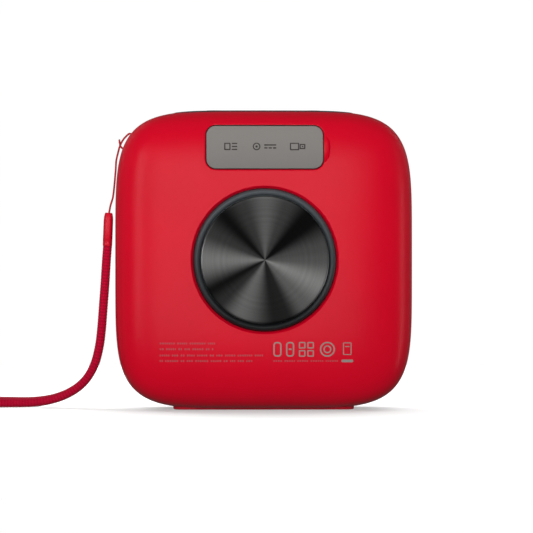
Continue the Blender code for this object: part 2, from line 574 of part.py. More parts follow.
def make_driver():
    """Front driver, turned about the body's depth axis; heights are depths, front at the lower end."""
    basket = turned("driver_basket", [
        (22.3 * MM, -16.5 * MM), (DRIVER_FLANGE_RADIUS, -16.5 * MM), (DRIVER_FLANGE_RADIUS, -15.3 * MM),
        (24.0 * MM, -15.3 * MM), (16.6 * MM, -4.2 * MM), (8.4 * MM, -4.2 * MM), (8.4 * MM, -5.2 * MM),
        (15.8 * MM, -5.2 * MM), (22.3 * MM, -14.9 * MM),
    ], BLACK_PLASTIC, steps=28)
    for name, x, z in (("window_across", 30 * MM, 6 * MM), ("window_upright", 6 * MM, 30 * MM)):
        boolean(basket, box(name, (-x, -13.4 * MM, MIDDLE_Z - z), (x, -6.4 * MM, MIDDLE_Z + z)))
    flange_holes = [((x, -18.5 * MM, z), (x, -14 * MM, z), DRIVER_HOLE_RADIUS) for x, z in DRIVER_SCREWS]
    boolean(basket, rods("flange_holes", flange_holes, sides=12))
    for number, (x, z) in enumerate(DRIVER_SCREWS):
        turned(
            f"driver_screw_{number + 1}",
            [(0, -13.6 * MM), (1.9 * MM, -13.9 * MM), (1.9 * MM, -15.0 * MM), (0.85 * MM, -15.0 * MM),
             (0.85 * MM, -18.0 * MM), (0, -18.1 * MM)],
            STEEL, centre=(x, z), steps=10,
        )
    turned("driver_cone", [
        (CONE_NECK, -10.1 * MM), (CONE_RIM, -15.9 * MM), (CONE_RIM, -15.4 * MM), (CONE_NECK, -9.5 * MM),
    ], PAPER)
    cap_rim, cap_rise, cap_y = 8.2 * MM, 2.7 * MM, -10.95 * MM
    angles = [math.pi / 2 * i / 4 for i in range(4)]
    dome = [(cap_rim * math.cos(a), cap_y - cap_rise * math.sin(a)) for a in angles]
    inside = [(0.94 * cap_rim * math.cos(a), cap_y - 0.8 * cap_rise * math.sin(a)) for a in angles]
    turned(
        "driver_dust_cap", [(0, cap_y - cap_rise), *dome[::-1], *inside, (0, cap_y - 0.8 * cap_rise)], PAPER
    )
    turned("voice_coil", [
        (6.3 * MM, -10.2 * MM), (6.9 * MM, -10.2 * MM), (6.9 * MM, -1.5 * MM), (6.3 * MM, -1.5 * MM),
    ], COPPER)
    roll = (20.7 * MM, -16.8 * MM)
    turned("driver_surround", [
        (18.2 * MM, -16.3 * MM), (19.8 * MM, -16.3 * MM), *arc(roll, 0.9 * MM, -180, 0, 4),
        (23.0 * MM, -16.8 * MM), (23.0 * MM, -17.3 * MM), *arc(roll, 1.4 * MM, -21, -180, 5),
        (18.2 * MM, -16.8 * MM),
    ], BLACK_RUBBER)
    wave_width = (SPIDER_OUTER - SPIDER_INNER) / SPIDER_WAVES
    crest = [
        (SPIDER_INNER + wave_width * i, -7.3 * MM + (0.35 * MM if i % 2 else -0.35 * MM))
        for i in range(SPIDER_WAVES + 1)
    ]
    turned("driver_spider", crest + [(r, y - 0.4 * MM) for r, y in crest[::-1]], SPIDER_CLOTH)
    turned("driver_top_plate", [
        (7.6 * MM, -3.9 * MM), (MAGNET_RADIUS, -3.9 * MM), (MAGNET_RADIUS, -0.9 * MM), (7.6 * MM, -0.9 * MM),
    ], STEEL)
    turned("driver_magnet", [
        (8.6 * MM, -0.6 * MM), (MAGNET_RADIUS, -0.6 * MM), (MAGNET_RADIUS, 4.4 * MM), (8.6 * MM, 4.4 * MM),
    ], FERRITE)
    turned("driver_yoke", [
        (0, 7.2 * MM), (MAGNET_RADIUS, 7.2 * MM), (MAGNET_RADIUS, 4.7 * MM), (5.9 * MM, 4.7 * MM),
        (5.9 * MM, -3.9 * MM), (0, -3.9 * MM),
    ], STEEL)
    leads = (("driver_lead_positive", 1, WIRE_RED), ("driver_lead_negative", -1, WIRE_BLACK))
    for name, side, finish in leads:
        cord(
            name,
            [(side * 19.5 * MM, -5.5 * MM, 72.5 * MM), (side * 21 * MM, -3 * MM, 76 * MM),
             (side * 21 * MM, -2.5 * MM, 84 * MM), (side * 24 * MM, -4.4 * MM, 91.9 * MM)],
            DRIVER_LEAD_DIAMETER, finish, 3 * MM,
        )


def make_radiator(rear):
    """Rear passive radiator: a spun cap on a moving plate, hung from the shell by a rubber half-roll."""
    boolean(rear, turned("radiator_bore", [
        (0, 30 * MM), (RADIATOR_DISH + 3 * MM, 30 * MM), (RADIATOR_DISH + 0.5 * MM, 23.9 * MM),
        (RADIATOR_BORE, 22.2 * MM), (RADIATOR_BORE, 12 * MM), (0, 12 * MM),
    ], steps=48))
    turned("radiator_cap", [
        (0, 24.7 * MM), (8 * MM, 24.75 * MM), (22.8 * MM, REAR_CREST), (RADIATOR_RADIUS, 24.5 * MM),
        (RADIATOR_RADIUS, 23.4 * MM), (0, 23.4 * MM),
    ], SPUN_METAL, steps=48)
    turned("radiator_plate", [
        (0, 23.1 * MM), (21.2 * MM, 23.1 * MM), (21.2 * MM, 22.3 * MM), (23.4 * MM, 22.3 * MM),
        (23.4 * MM, 21.3 * MM), (0, 21.3 * MM),
    ], BLACK_PLASTIC)
    turned("radiator_weight", [
        (0, 21.0 * MM), (13 * MM, 21.0 * MM), (13 * MM, 17.2 * MM), (0, 17.2 * MM),
    ], STEEL)
    roll = (ROLL_MIDDLE_RADIUS, ROLL_MIDDLE_Y)
    turned("radiator_surround", [
        (21.5 * MM, 23.1 * MM), (23.75 * MM, 23.1 * MM), *arc(roll, ROLL_OUTER, 180, 0, 6),
        (25.95 * MM, 20.4 * MM), (28.9 * MM, 20.4 * MM), (28.9 * MM, 19.8 * MM), (25.4 * MM, 19.8 * MM),
        *arc(roll, ROLL_INNER, 0, 180, 4), (24.3 * MM, 22.6 * MM), (21.5 * MM, 22.6 * MM),
    ], BLACK_RUBBER, steps=28)
    turned("radiator_frame", [
        (26.2 * MM, 19.5 * MM), (31 * MM, 19.5 * MM), (31 * MM, 17.4 * MM), (26.2 * MM, 17.4 * MM),
    ], BLACK_PLASTIC)


# Half of the thread's route, in millimetres: up from the sleeve, through its own bight, in at the upper
# hole, down behind the bridge, out at the lower hole, and round the outside as the bight.
THREAD_ROUTE = [
    (57.3, -0.45, 73.2), (56.8, -0.45, 75.7), (55.95, -0.45, 78.6), (55.45, -0.45, 82.6),
    (55.15, -0.45, 85.9), (54.9, -0.45, 88.9), (54.7, -0.45, 92.2), (54.1, -0.45, 94.9),
    (53.3, -0.45, 97.8), (52.15, -0.45, 99.95),
    (50.95, -0.45, 101.35), (49.8, -0.45, 102.25), (48.85, -0.45, 101.9), (48.05, -0.45, 101.3),
    (47.2, -0.45, 100.7), (46.6, -0.45, 99.3), (46.7, -0.45, 97.5), (47.6, -0.45, 96.0), (48.8, -0.45, 95.5),
    (49.95, -0.45, 95.86), (51.0, -0.45, 96.26), (52.0, -0.55, 96.65), (52.8, -0.95, 97.15),
    (53.3, -1.25, 98.2), (53.5, -0.9, 99.4), (53.55, 0.0, 99.85),
]

# The wrist loop's route, in millimetres: down from the sleeve to the surface, out along it, round, and back.
LOOP_DROP = [
    (57.99, 60.1), (58.4, 54.6), (58.9, 46.5), (59.5, 38.5), (60.2, 29.5), (61.1, 22.8), (62.9, 16.2),
    (66.2, 10.6), (71.0, 6.5), (77.5, 3.6), (85.5, 2.1),
]
LOOP_DRIFT = [0, 0, 0, 0, -0.3, -0.8, -1.6, -3.0, -5.0, -7.6, -10.8]
LOOP_SPREAD = [1.8, 1.8, 1.8, 1.8, 1.85, 1.9, 2.0, 2.3, 2.9, 4.0, 5.8]
LOOP_END = [
    (96.5, -7.8, 1.75), (108.0, -9.6, 1.7), (119.0, -12.0, 1.7), (128.5, -17.5, 1.7), (132.0, -27.0, 1.7),
    (126.5, -36.0, 1.7), (115.5, -36.8, 1.7), (105.0, -30.0, 1.7), (95.5, -23.4, 1.75),
]


def make_strap():
    """Thread, crimp sleeve and wrist loop."""
    there = [(x * MM, y * MM, z * MM) for x, y, z in THREAD_ROUTE]
    back = [(x, -y, z) for x, y, z in there[-2::-1]]
    cord("strap_thread", there + back, THREAD_DIAMETER, CORD_RED, 2.0 * MM)
    width, depth, height = SLEEVE_SIZE
    sleeve = box(
        "strap_sleeve", (-width / 2, -depth / 2, -height / 2), (width / 2, depth / 2, height / 2),
        SLEEVE_RED, corner=1.7 * MM,
    )
    sleeve.location = SLEEVE_CENTRE
    sleeve.rotation_euler = (0, math.radians(-2.3), 0)
    down = [(x, d - s, z) for (x, z), d, s in zip(LOOP_DROP, LOOP_DRIFT, LOOP_SPREAD)]
    up = [(x, d + s, z) for (x, z), d, s in zip(LOOP_DROP, LOOP_DRIFT, LOOP_SPREAD)]
    route = up + LOOP_END + down[::-1]
    cord("wrist_loop", [(x * MM, y * MM, z * MM) for x, y, z in route], CORD_DIAMETER, CORD_RED, 7.5 * MM)


rear_shell = make_housing()
make_grille()
make_controls(rear_shell)
make_port_cover(rear_shell)
make_sockets()
make_battery()
make_driver()
make_radiator(rear_shell)
make_foot(rear_shell)
make_strap()
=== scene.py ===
import json
import math

import bmesh
import bpy
import numpy as np
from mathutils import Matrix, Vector
from mathutils.geometry import delaunay_2d_cdt


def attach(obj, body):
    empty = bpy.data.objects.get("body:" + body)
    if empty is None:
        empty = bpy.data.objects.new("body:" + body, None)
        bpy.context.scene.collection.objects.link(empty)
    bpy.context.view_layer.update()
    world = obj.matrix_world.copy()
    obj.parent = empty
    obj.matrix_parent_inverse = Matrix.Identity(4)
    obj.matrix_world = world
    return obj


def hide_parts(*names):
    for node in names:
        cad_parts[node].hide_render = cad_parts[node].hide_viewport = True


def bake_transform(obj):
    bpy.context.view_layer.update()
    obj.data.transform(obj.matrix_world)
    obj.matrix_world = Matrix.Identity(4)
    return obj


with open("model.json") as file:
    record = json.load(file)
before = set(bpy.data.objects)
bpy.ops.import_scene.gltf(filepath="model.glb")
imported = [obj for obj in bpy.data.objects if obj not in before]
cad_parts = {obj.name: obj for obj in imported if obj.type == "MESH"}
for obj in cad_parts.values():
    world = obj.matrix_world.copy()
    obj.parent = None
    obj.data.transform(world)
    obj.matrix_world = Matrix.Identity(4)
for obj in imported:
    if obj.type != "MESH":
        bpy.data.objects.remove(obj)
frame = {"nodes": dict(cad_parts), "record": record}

MM = 0.001
for spare in ("Cube", "Light", "Camera"):
    if spare in bpy.data.objects and spare not in frame["nodes"]:
        bpy.data.objects.remove(bpy.data.objects[spare], do_unlink=True)
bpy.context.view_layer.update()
scene = bpy.context.scene
scene.view_settings.view_transform = "Standard"

# The skin: half sizes, powers and depths of the case, as in the CAD source.
HALF_X, HALF_Z, MIDDLE_Z = 55.0, 55.2, 55.4
REAR, FRONT = 23.6, 25.0
OUTLINE, DEPTH = 5.05, 4.5
WALL = 2.4
TOP = MIDDLE_Z + HALF_Z


# -------- geometry helpers (millimetres)

def full_turn(count):
    """Evenly spaced angles round a circle."""
    return np.arange(count) * 2 * math.pi / count


def silhouette(angle, grow=0.0):
    """Distance from the middle axis to the outline at an angle."""
    across = np.abs(np.cos(angle)) / (HALF_X + grow)
    up = np.abs(np.sin(angle)) / (HALF_Z + grow)
    return (across**OUTLINE + up**OUTLINE) ** (-1 / OUTLINE)


def profile_point(tilt, depth):
    """Share of the outline reached, and depth, on the case's section at a tilt from the middle axis."""
    s, c = np.abs(np.sin(tilt)), np.abs(np.cos(tilt))
    reach = (s**DEPTH + c**DEPTH) ** (-1 / DEPTH)
    return reach * s, reach * c * depth


def back_y(x, z, grow=0.0, depth=REAR):
    rise = (z - MIDDLE_Z) / (HALF_Z + grow)
    share = (np.abs(x / (HALF_X + grow)) ** OUTLINE + np.abs(rise) ** OUTLINE) ** (DEPTH / OUTLINE)
    return (depth + grow) * np.clip(1 - share, 0, None) ** (1 / DEPTH)


def top_z(x, y, grow=0.0):
    depth = np.where(y > 0, REAR, FRONT) + grow
    left = np.clip(1 - np.abs(y / depth) ** DEPTH, 0, None) ** (OUTLINE / DEPTH)
    left = np.clip(left - np.abs(x / (HALF_X + grow)) ** OUTLINE, 0, None)
    return MIDDLE_Z + (HALF_Z + grow) * left ** (1 / OUTLINE)


def skin_normal(points):
    """Outward unit normals of the skin at points near it."""
    x, y, z = points[:, 0] / HALF_X, points[:, 1], (points[:, 2] - MIDDLE_Z) / HALF_Z
    depth = np.where(y > 0, REAR, FRONT)
    outline = np.maximum(np.abs(x) ** OUTLINE + np.abs(z) ** OUTLINE, 1e-12)
    share = outline ** (DEPTH / OUTLINE - 1)
    normal = np.stack([
        share * np.sign(x) * np.abs(x) ** (OUTLINE - 1) / HALF_X,
        np.sign(y) * np.abs(y / depth) ** (DEPTH - 1) / depth,
        share * np.sign(z) * np.abs(z) ** (OUTLINE - 1) / HALF_Z,
    ], axis=1)
    return normal / np.linalg.norm(normal, axis=1, keepdims=True)


def piece(name, points, faces, finish=None, smooth=35.0, marks=None):
    """A mesh object from millimetre points. marks gives each face's material index."""
    mesh = bpy.data.meshes.new(name)
    mesh.from_pydata([tuple(p) for p in np.asarray(points, float) * MM], [], [tuple(f) for f in faces])
    mesh.validate()
    if marks is not None:
        mesh.polygons.foreach_set("material_index", np.asarray(marks, np.int32))
    made = bpy.data.objects.new(name, mesh)
    scene.collection.objects.link(made)
    for one in (finish if isinstance(finish, (list, tuple)) else [finish]):
        if one is not None:
            mesh.materials.append(one)
    mesh.shade_smooth()
    mesh.set_sharp_from_angle(angle=math.radians(smooth))
    return made


def face_out(made):
    """Turns the faces of a closed mesh outwards."""
    bm = bmesh.new()
    bm.from_mesh(made.data)
    bmesh.ops.recalc_face_normals(bm, faces=bm.faces)
    if bm.calc_volume(signed=True) < 0:
        bmesh.ops.reverse_faces(bm, faces=bm.faces)
    bm.to_mesh(made.data)
    bm.free()
    return made


def lofted(name, rings, finish=None, smooth=35.0, closed=False, marks=None):
    """Joins rings of equally many points. Closed, the last ring joins the first; open, both ends fill."""
    count = len(rings[0])
    points = np.concatenate([np.asarray(ring, float) for ring in rings])
    faces, face_marks = [], []
    for a in range(len(rings) if closed else len(rings) - 1):
        b = (a + 1) % len(rings)
        for i in range(count):
            j = (i + 1) % count
            faces.append((a * count + i, a * count + j, b * count + j, b * count + i))
            face_marks.append(marks[a] if marks else 0)
    if not closed:
        for place in (0, len(rings) - 1):
            loop = [place * count + i for i in range(count)]
            faces.append(loop if place else loop[::-1])
            face_marks.append(marks[-1 if place else 0] if marks else 0)
    made = piece(name, points, faces, finish, smooth, face_marks if marks else None)
    return face_out(made)


def turned(name, profile, finish=None, steps=192, centre=(0.0, MIDDLE_Z), upright=False, smooth=35.0):
    """A lathe piece round the case's depth axis from (radius, depth), or round Z from (radius, height)."""
    angles = full_turn(steps)
    closed = all(radius > 1e-6 for radius, _ in profile)
    rings = []
    for radius, along in profile:
        radius = max(radius, 1e-3)
        across, up = radius * np.cos(angles), radius * np.sin(angles)
        level = np.full(steps, along)
        if upright:
            rings.append(np.stack([centre[0] + across, centre[1] + up, level], axis=1))
        else:
            rings.append(np.stack([centre[0] + across, level, centre[1] + up], axis=1))
    return lofted(name, rings, finish, smooth, closed=closed)


def arc(centre, radius, start, end, count):
    """Points on a circle between two angles in degrees."""
    steps = [math.radians(start + (end - start) * i / count) for i in range(count + 1)]
    return [(centre[0] + radius * math.cos(a), centre[1] + radius * math.sin(a)) for a in steps]


def round_rect(half_a, half_b, corner, grow=0.0, arc_steps=10, long_steps=44, short_steps=16):
    """A rounded rectangle's points, the same number whatever grow is."""
    a, b = half_a + grow, half_b + grow
    r = min(max(corner + grow, 0.02), a, b)
    signs = ((1, 1), (-1, 1), (-1, -1), (1, -1))
    corners = [(sign_a * (a - r), sign_b * (b - r)) for sign_a, sign_b in signs]
    points = []
    for quarter, run in enumerate((long_steps, short_steps, long_steps, short_steps)):
        centre, following = corners[quarter], corners[(quarter + 1) % 4]
        turn = quarter * math.pi / 2
        for i in range(arc_steps):
            t = turn + math.pi / 2 * i / arc_steps
            points.append((centre[0] + r * math.cos(t), centre[1] + r * math.sin(t)))
        t = turn + math.pi / 2
        start = (centre[0] + r * math.cos(t), centre[1] + r * math.sin(t))
        end = (following[0] + r * math.cos(t), following[1] + r * math.sin(t))
        for i in range(run):
            f = i / run
            points.append((start[0] + (end[0] - start[0]) * f, start[1] + (end[1] - start[1]) * f))
    return np.array(points)


def on_back(ring, sink, middle=(0.0, 0.0)):
    """A ring of (x, z) on the rear skin, sunk below it along the depth axis."""
    x, z = ring[:, 0] + middle[0], ring[:, 1] + middle[1]
    return np.stack([x, back_y(x, z) - sink, z], axis=1)


def on_top(ring, sink):
    """A ring of (x, y) on the top of the skin, sunk below it."""
    x, y = ring[:, 0], ring[:, 1]
    return np.stack([x, y, top_z(x, y) - sink], axis=1)


def at_height(ring, z):
    """A ring of (x, y) laid flat at a height."""
    return np.column_stack([ring, np.full(len(ring), z)])


def cut(target, *others):
    """Subtracts closed meshes from target for good. The cut faces keep the cutters' material."""
    for other in others:
        modifier = target.modifiers.new(other.name, "BOOLEAN")
        modifier.operation = "DIFFERENCE"
        modifier.solver = "EXACT"
        modifier.material_mode = "TRANSFER"
        modifier.object = other
    graph = bpy.context.evaluated_depsgraph_get()
    mesh = bpy.data.meshes.new_from_object(target.evaluated_get(graph))
    target.modifiers.clear()
    old, target.data = target.data, mesh
    bpy.data.meshes.remove(old)
    for other in others:
        bpy.data.objects.remove(other, do_unlink=True)


def skin_shading(target, finishes, smooth=35.0):
    """True skin normals on the faces marked 0, plain smooth ones elsewhere; then a material for each mark."""
    mesh = target.data
    mesh.shade_smooth()
    mesh.set_sharp_from_angle(angle=math.radians(smooth))
    points = np.empty(len(mesh.vertices) * 3)
    mesh.vertices.foreach_get("co", points)
    normals = skin_normal(points.reshape(-1, 3) / MM)
    marks = np.empty(len(mesh.polygons), np.int32)
    mesh.polygons.foreach_get("material_index", marks)
    totals = np.empty(len(mesh.polygons), np.int32)
    mesh.polygons.foreach_get("loop_total", totals)
    corner = np.empty(len(mesh.loops), np.int32)
    mesh.loops.foreach_get("vertex_index", corner)
    face_of = np.repeat(np.arange(len(marks)), totals)
    wanted = np.where((marks[face_of] == 0)[:, None], normals[corner], 0.0)
    mesh.normals_split_custom_set(wanted.tolist())
    unique = list(dict.fromkeys(finishes))
    mesh.materials.clear()
    for one in unique:
        mesh.materials.append(one)
    slots = [unique.index(finishes[min(mark, len(finishes) - 1)]) for mark in marks]
    mesh.polygons.foreach_set("material_index", np.array(slots, np.int32))
    mesh.update()


def smooth_path(points, spacing):
    """Points at an even spacing on the smooth curve through the given ones."""
    path = [np.array(p, float) for p in points]
    path = [2 * path[0] - path[1]] + path + [2 * path[-1] - path[-2]]
    fine = []
    for a, b, c, d in zip(path, path[1:], path[2:], path[3:]):
        for step in range(16):
            t = step / 16
            fine.append(0.5 * (2 * b + (c - a) * t + (2 * a - 5 * b + 4 * c - d) * t**2
                               + (3 * b - a - 3 * c + d) * t**3))
    fine.append(path[-2])
    fine = np.array(fine)
    run = np.concatenate([[0], np.cumsum(np.linalg.norm(np.diff(fine, axis=0), axis=1))])
    wanted = np.linspace(0, run[-1], max(2, round(run[-1] / spacing)) + 1)
    return np.stack([np.interp(wanted, run, fine[:, k]) for k in range(3)], axis=1), run[-1]


def tube(name, path, radius, finish, sides):
    """A tube along a path. radius is a function of the distance along and the angles round."""
    tangents = np.gradient(path, axis=0)
    tangents /= np.linalg.norm(tangents, axis=1, keepdims=True)
    across = np.cross(tangents[0], (0.0, 1.0, 0.0))
    across /= np.linalg.norm(across)
    angles = full_turn(sides)
    run = np.concatenate([[0], np.cumsum(np.linalg.norm(np.diff(path, axis=0), axis=1))])
    rings = []
    for place, tangent, along in zip(path, tangents, run):
        across = across - tangent * across.dot(tangent)
        across /= np.linalg.norm(across)
        other = np.cross(tangent, across)
        reach = radius(along, angles)[:, None]
        rings.append(place + reach * (np.cos(angles)[:, None] * across + np.sin(angles)[:, None] * other))
    return lofted(name, rings, finish, smooth=80.0)


# -------- materials

def linear(red, green, blue):
    """An 8-bit display colour as linear light."""
    return tuple(
        v / 12.92 if v <= 0.04045 else ((v + 0.055) / 1.055) ** 2.4
        for v in (red / 255, green / 255, blue / 255)
    )


COLOUR_A, COLOUR_B, COLOUR_OUT = 6, 7, 2  # a mix node's sockets when it mixes colours


class Finish:
    """A material whose shader sockets hold what is uniform, with helpers for what varies."""

    def __init__(self, name, colour, roughness, metallic=0.0, **sockets):
        self.made = bpy.data.materials.new(name)
        self.made.use_nodes = True
        self.tree = self.made.node_tree
        self.shader = self.tree.nodes["Principled BSDF"]
        self.bump = None
        self.shader.inputs["Base Color"].default_value = (*colour, 1)
        self.shader.inputs["Roughness"].default_value = roughness
        self.shader.inputs["Metallic"].default_value = metallic
        for socket, value in sockets.items():
            self.shader.inputs[socket.replace("_", " ")].default_value = value
        self.place = self.node("ShaderNodeTexCoord").outputs["Object"]

    def node(self, kind, **values):
        """A new node, with its inputs and properties set by name."""
        made = self.tree.nodes.new(kind)
        for key, value in values.items():
            if key in made.inputs:
                made.inputs[key].default_value = value
            else:
                setattr(made, key, value)
        return made

    def link(self, source, target):
        self.tree.links.new(source, target)

    def noise(self, scale, detail=3.0, rough=0.55, stretch=None):
        """Noise in object space, from 0 to 1."""
        made = self.node("ShaderNodeTexNoise", Scale=scale, Detail=detail, Roughness=rough)
        source = self.place
        if stretch:
            mapping = self.node("ShaderNodeMapping")
            mapping.inputs["Scale"].default_value = stretch
            self.link(source, mapping.inputs["Vector"])
            source = mapping.outputs["Vector"]
        self.link(source, made.inputs["Vector"])
        return made.outputs["Fac"]

    def math(self, operation, a, b=0.0, c=0.0):
        """A maths node on numbers and node outputs."""
        made = self.node("ShaderNodeMath", operation=operation)
        for socket, value in zip(made.inputs, (a, b, c)):
            if hasattr(value, "links"):
                self.link(value, socket)
            else:
                socket.default_value = value
        return made.outputs[0]

    def between(self, factor, low, high):
        """Noise's usual range brought between two values."""
        made = self.node("ShaderNodeMapRange")
        made.inputs["From Min"].default_value = 0.3
        made.inputs["From Max"].default_value = 0.7
        made.inputs["To Min"].default_value = low
        made.inputs["To Max"].default_value = high
        self.link(factor, made.inputs["Value"])
        return made.outputs["Result"]

    def vary_colour(self, factor, first, second):
        mix = self.node("ShaderNodeMix", data_type="RGBA")
        mix.inputs[COLOUR_A].default_value = (*first, 1)
        mix.inputs[COLOUR_B].default_value = (*second, 1)
        self.link(factor, mix.inputs["Factor"])
        self.link(mix.outputs[COLOUR_OUT], self.shader.inputs["Base Color"])

    def paint_shade_upwards(self, low_z, high_z, low_colour, high_colour):
        """Painted shade: colour that changes evenly between two heights in millimetres."""
        parts = self.node("ShaderNodeSeparateXYZ")
        self.link(self.place, parts.inputs[0])
        share = self.node("ShaderNodeMapRange")
        share.inputs["From Min"].default_value = low_z * MM
        share.inputs["From Max"].default_value = high_z * MM
        self.link(parts.outputs["Z"], share.inputs["Value"])
        self.vary_colour(share.outputs["Result"], low_colour, high_colour)

    def vary_roughness(self, factor, low, high):
        self.link(self.between(factor, low, high), self.shader.inputs["Roughness"])

    def add_bump(self, height, distance):
        made = self.node("ShaderNodeBump", Distance=distance, Strength=1.0)
        self.link(height, made.inputs["Height"])
        if self.bump:
            self.link(self.bump, made.inputs["Normal"])
        self.bump = made.outputs["Normal"]
        self.link(self.bump, self.shader.inputs["Normal"])


def moulded(name, colour, roughness, grain=2600, depth=0.000012, tint=0.04, painted_shade=None, **sockets):
    """A moulded surface: fine spark texture, worn sheen, and a slow colour drift, or instead painted shade
    that fades between two heights.
    """
    made = Finish(name, colour, roughness, **sockets)
    if painted_shade:
        made.paint_shade_upwards(*painted_shade)
    else:
        darker = tuple(c * (1 - tint) for c in colour)
        lighter = tuple(min(1.0, c * (1 + tint)) for c in colour)
        made.vary_colour(made.between(made.noise(28, 2.0), 0, 1), darker, lighter)
    made.vary_roughness(made.noise(340, 4.0), roughness - 0.025, roughness + 0.03)
    made.add_bump(made.noise(grain, 2.0), depth)
    return made


RED = linear(211, 4, 36)
shell_finish = moulded("shell_red_satin", RED, 0.30, Specular_IOR_Level=0.25)
shell_inside = moulded("shell_red_inside", tuple(c * 0.8 for c in RED), 0.55)
grille_finish = moulded("grille_red_paint", linear(196, 8, 36), 0.38, grain=4200)
# Painted shade: the cover's grey is darker at the bottom and lighter towards its top.
cover_finish = moulded("cover_grey_rubber", linear(128, 124, 120), 0.52, grain=3400,
                       painted_shade=(89.0, 104.5, linear(118, 115, 112), linear(139, 135, 131)))
cover_mark = moulded("cover_engraving", linear(64, 60, 58), 0.7)
pad_finish = moulded("pad_dark_rubber", linear(58, 64, 66), 0.55, grain=3000)
pad_mark = moulded("pad_symbol_print", linear(176, 180, 182), 0.5)
foot_finish = moulded("foot_red_rubber", linear(186, 12, 36), 0.58, grain=2200, depth=0.00002)
print_finish = moulded("print_warm_grey", linear(176, 72, 78), 0.5, grain=6000)
mark_finish = moulded("print_light_grey", linear(146, 138, 132), 0.45, grain=6000)
# Painted shade: the roll's grey is dark at the bottom and light at the top.
roll_finish = moulded("roll_grey_rubber", linear(60, 64, 66), 0.42, grain=5200, depth=0.000006,
                      painted_shade=(MIDDLE_Z - 22, MIDDLE_Z + 25, linear(24, 26, 27), linear(71, 76, 80)))
sleeve_finish = moulded("sleeve_red_plastic", linear(206, 11, 41), 0.42, grain=3800)

thread_finish = Finish("thread_red_polyester", linear(196, 14, 38), 0.6, Sheen_Weight=0.3)
thread_finish.vary_colour(thread_finish.between(thread_finish.noise(2400, 3.0), 0, 1),
                          linear(158, 2, 20), linear(192, 6, 32))
thread_finish.add_bump(thread_finish.noise(5200, 3.0), 0.00004)

cord_finish = Finish("cord_crimson_braid", linear(180, 6, 45), 0.78,
                     Sheen_Weight=0.06, Sheen_Roughness=0.5, Specular_IOR_Level=0.2)
fibre = cord_finish.noise(2600, 4.0, 0.65)
groove = cord_finish.node("ShaderNodeAttribute", attribute_name="braid")
# Random fibre tone, and painted shade: the colour is darker in the braid's grooves and lighter on its crests.
braid_painted_shade = cord_finish.math("MULTIPLY", groove.outputs["Fac"], 0.7)
cord_finish.vary_colour(
    cord_finish.math("MULTIPLY_ADD", fibre, 0.35, braid_painted_shade), linear(146, 1, 31), linear(204, 5, 55)
)
cord_finish.add_bump(fibre, 0.00006)

# The lathe-cut disc's cones of light, painted into its colour as painted reflections: degrees clockwise from
# the top as seen from behind, and grey level.
PAINTED_REFLECTION_CONES = (
    (0, 92), (22, 58), (42, 14), (52, 15), (78, 74), (90, 84), (113, 130), (138, 92), (158, 34), (170, 31),
    (206, 98), (226, 44), (241, 19), (270, 120), (296, 56), (317, 17), (338, 56), (360, 92),
)
PAINTED_REFLECTION_GAIN = 2.85


def spun(name):
    """Lathe-cut gunmetal with fine concentric grooves; the cones of light round the middle are painted
    reflections in its colour.
    """
    made = Finish(name, linear(60, 60, 62), 0.36, 1.0, Anisotropic=0.4)
    offset = made.node("ShaderNodeVectorMath", operation="SUBTRACT")
    offset.inputs[1].default_value = (0, 0, MIDDLE_Z * MM)
    made.link(made.place, offset.inputs[0])
    parts = made.node("ShaderNodeSeparateXYZ")
    made.link(offset.outputs[0], parts.inputs[0])
    x, z = parts.outputs["X"], parts.outputs["Z"]
    radius = made.math("SQRT", made.math("MULTIPLY_ADD", x, x, made.math("MULTIPLY", z, z)))
    turn = made.math("ARCTAN2", made.math("MULTIPLY", x, -1.0), z)
    share = made.math("FRACT", made.math("MULTIPLY_ADD", turn, 1 / (2 * math.pi), 1.0))
    # Painted reflection: a grey level for each angle round the middle, put into the base colour.
    cones = made.node("ShaderNodeValToRGB")
    ramp = cones.color_ramp
    ramp.interpolation = "EASE"
    for degrees, _ in PAINTED_REFLECTION_CONES[1:-1]:
        ramp.elements.new(degrees / 360)
    for element, (_, grey) in zip(ramp.elements, PAINTED_REFLECTION_CONES):
        level = linear(grey, grey, grey)[0] * PAINTED_REFLECTION_GAIN
        element.color = (level, level, level * 0.985, 1)
    made.link(share, cones.inputs["Fac"])
    grooves = made.node("ShaderNodeTexNoise", noise_dimensions="1D", Scale=4200.0, Detail=4.0, Roughness=0.7)
    wide = made.node("ShaderNodeTexNoise", noise_dimensions="1D", Scale=900.0, Detail=3.0, Roughness=0.6)
    for each in (grooves, wide):
        made.link(radius, each.inputs["W"])
    shade = made.node("ShaderNodeMix", data_type="RGBA", blend_type="MULTIPLY")
    shade.inputs["Factor"].default_value = 1.0
    made.link(cones.outputs["Color"], shade.inputs[COLOUR_A])
    made.link(made.between(wide.outputs["Fac"], 0.94, 1.06), shade.inputs[COLOUR_B])
    made.link(shade.outputs[COLOUR_OUT], made.shader.inputs["Base Color"])
    made.vary_roughness(grooves.outputs["Fac"], 0.33, 0.39)
    made.add_bump(grooves.outputs["Fac"], 0.0000015)
    tangent = made.node("ShaderNodeTangent", direction_type="RADIAL", axis="Y")
    made.link(tangent.outputs["Tangent"], made.shader.inputs["Tangent"])
    return made


def metal(name, colour, roughness, scratch=900):
    """Plain metal with fine scratches along Z."""
    made = Finish(name, colour, roughness, 1.0)
    made.vary_roughness(made.noise(scratch, 4.0, 0.7, stretch=(1, 1, 8)), roughness - 0.07, roughness + 0.1)
    made.vary_colour(made.between(made.noise(60), 0, 1), tuple(c * 0.85 for c in colour), colour)
    made.add_bump(made.noise(1800, 3.0, 0.6, stretch=(1, 1, 6)), 0.000008)
    return made


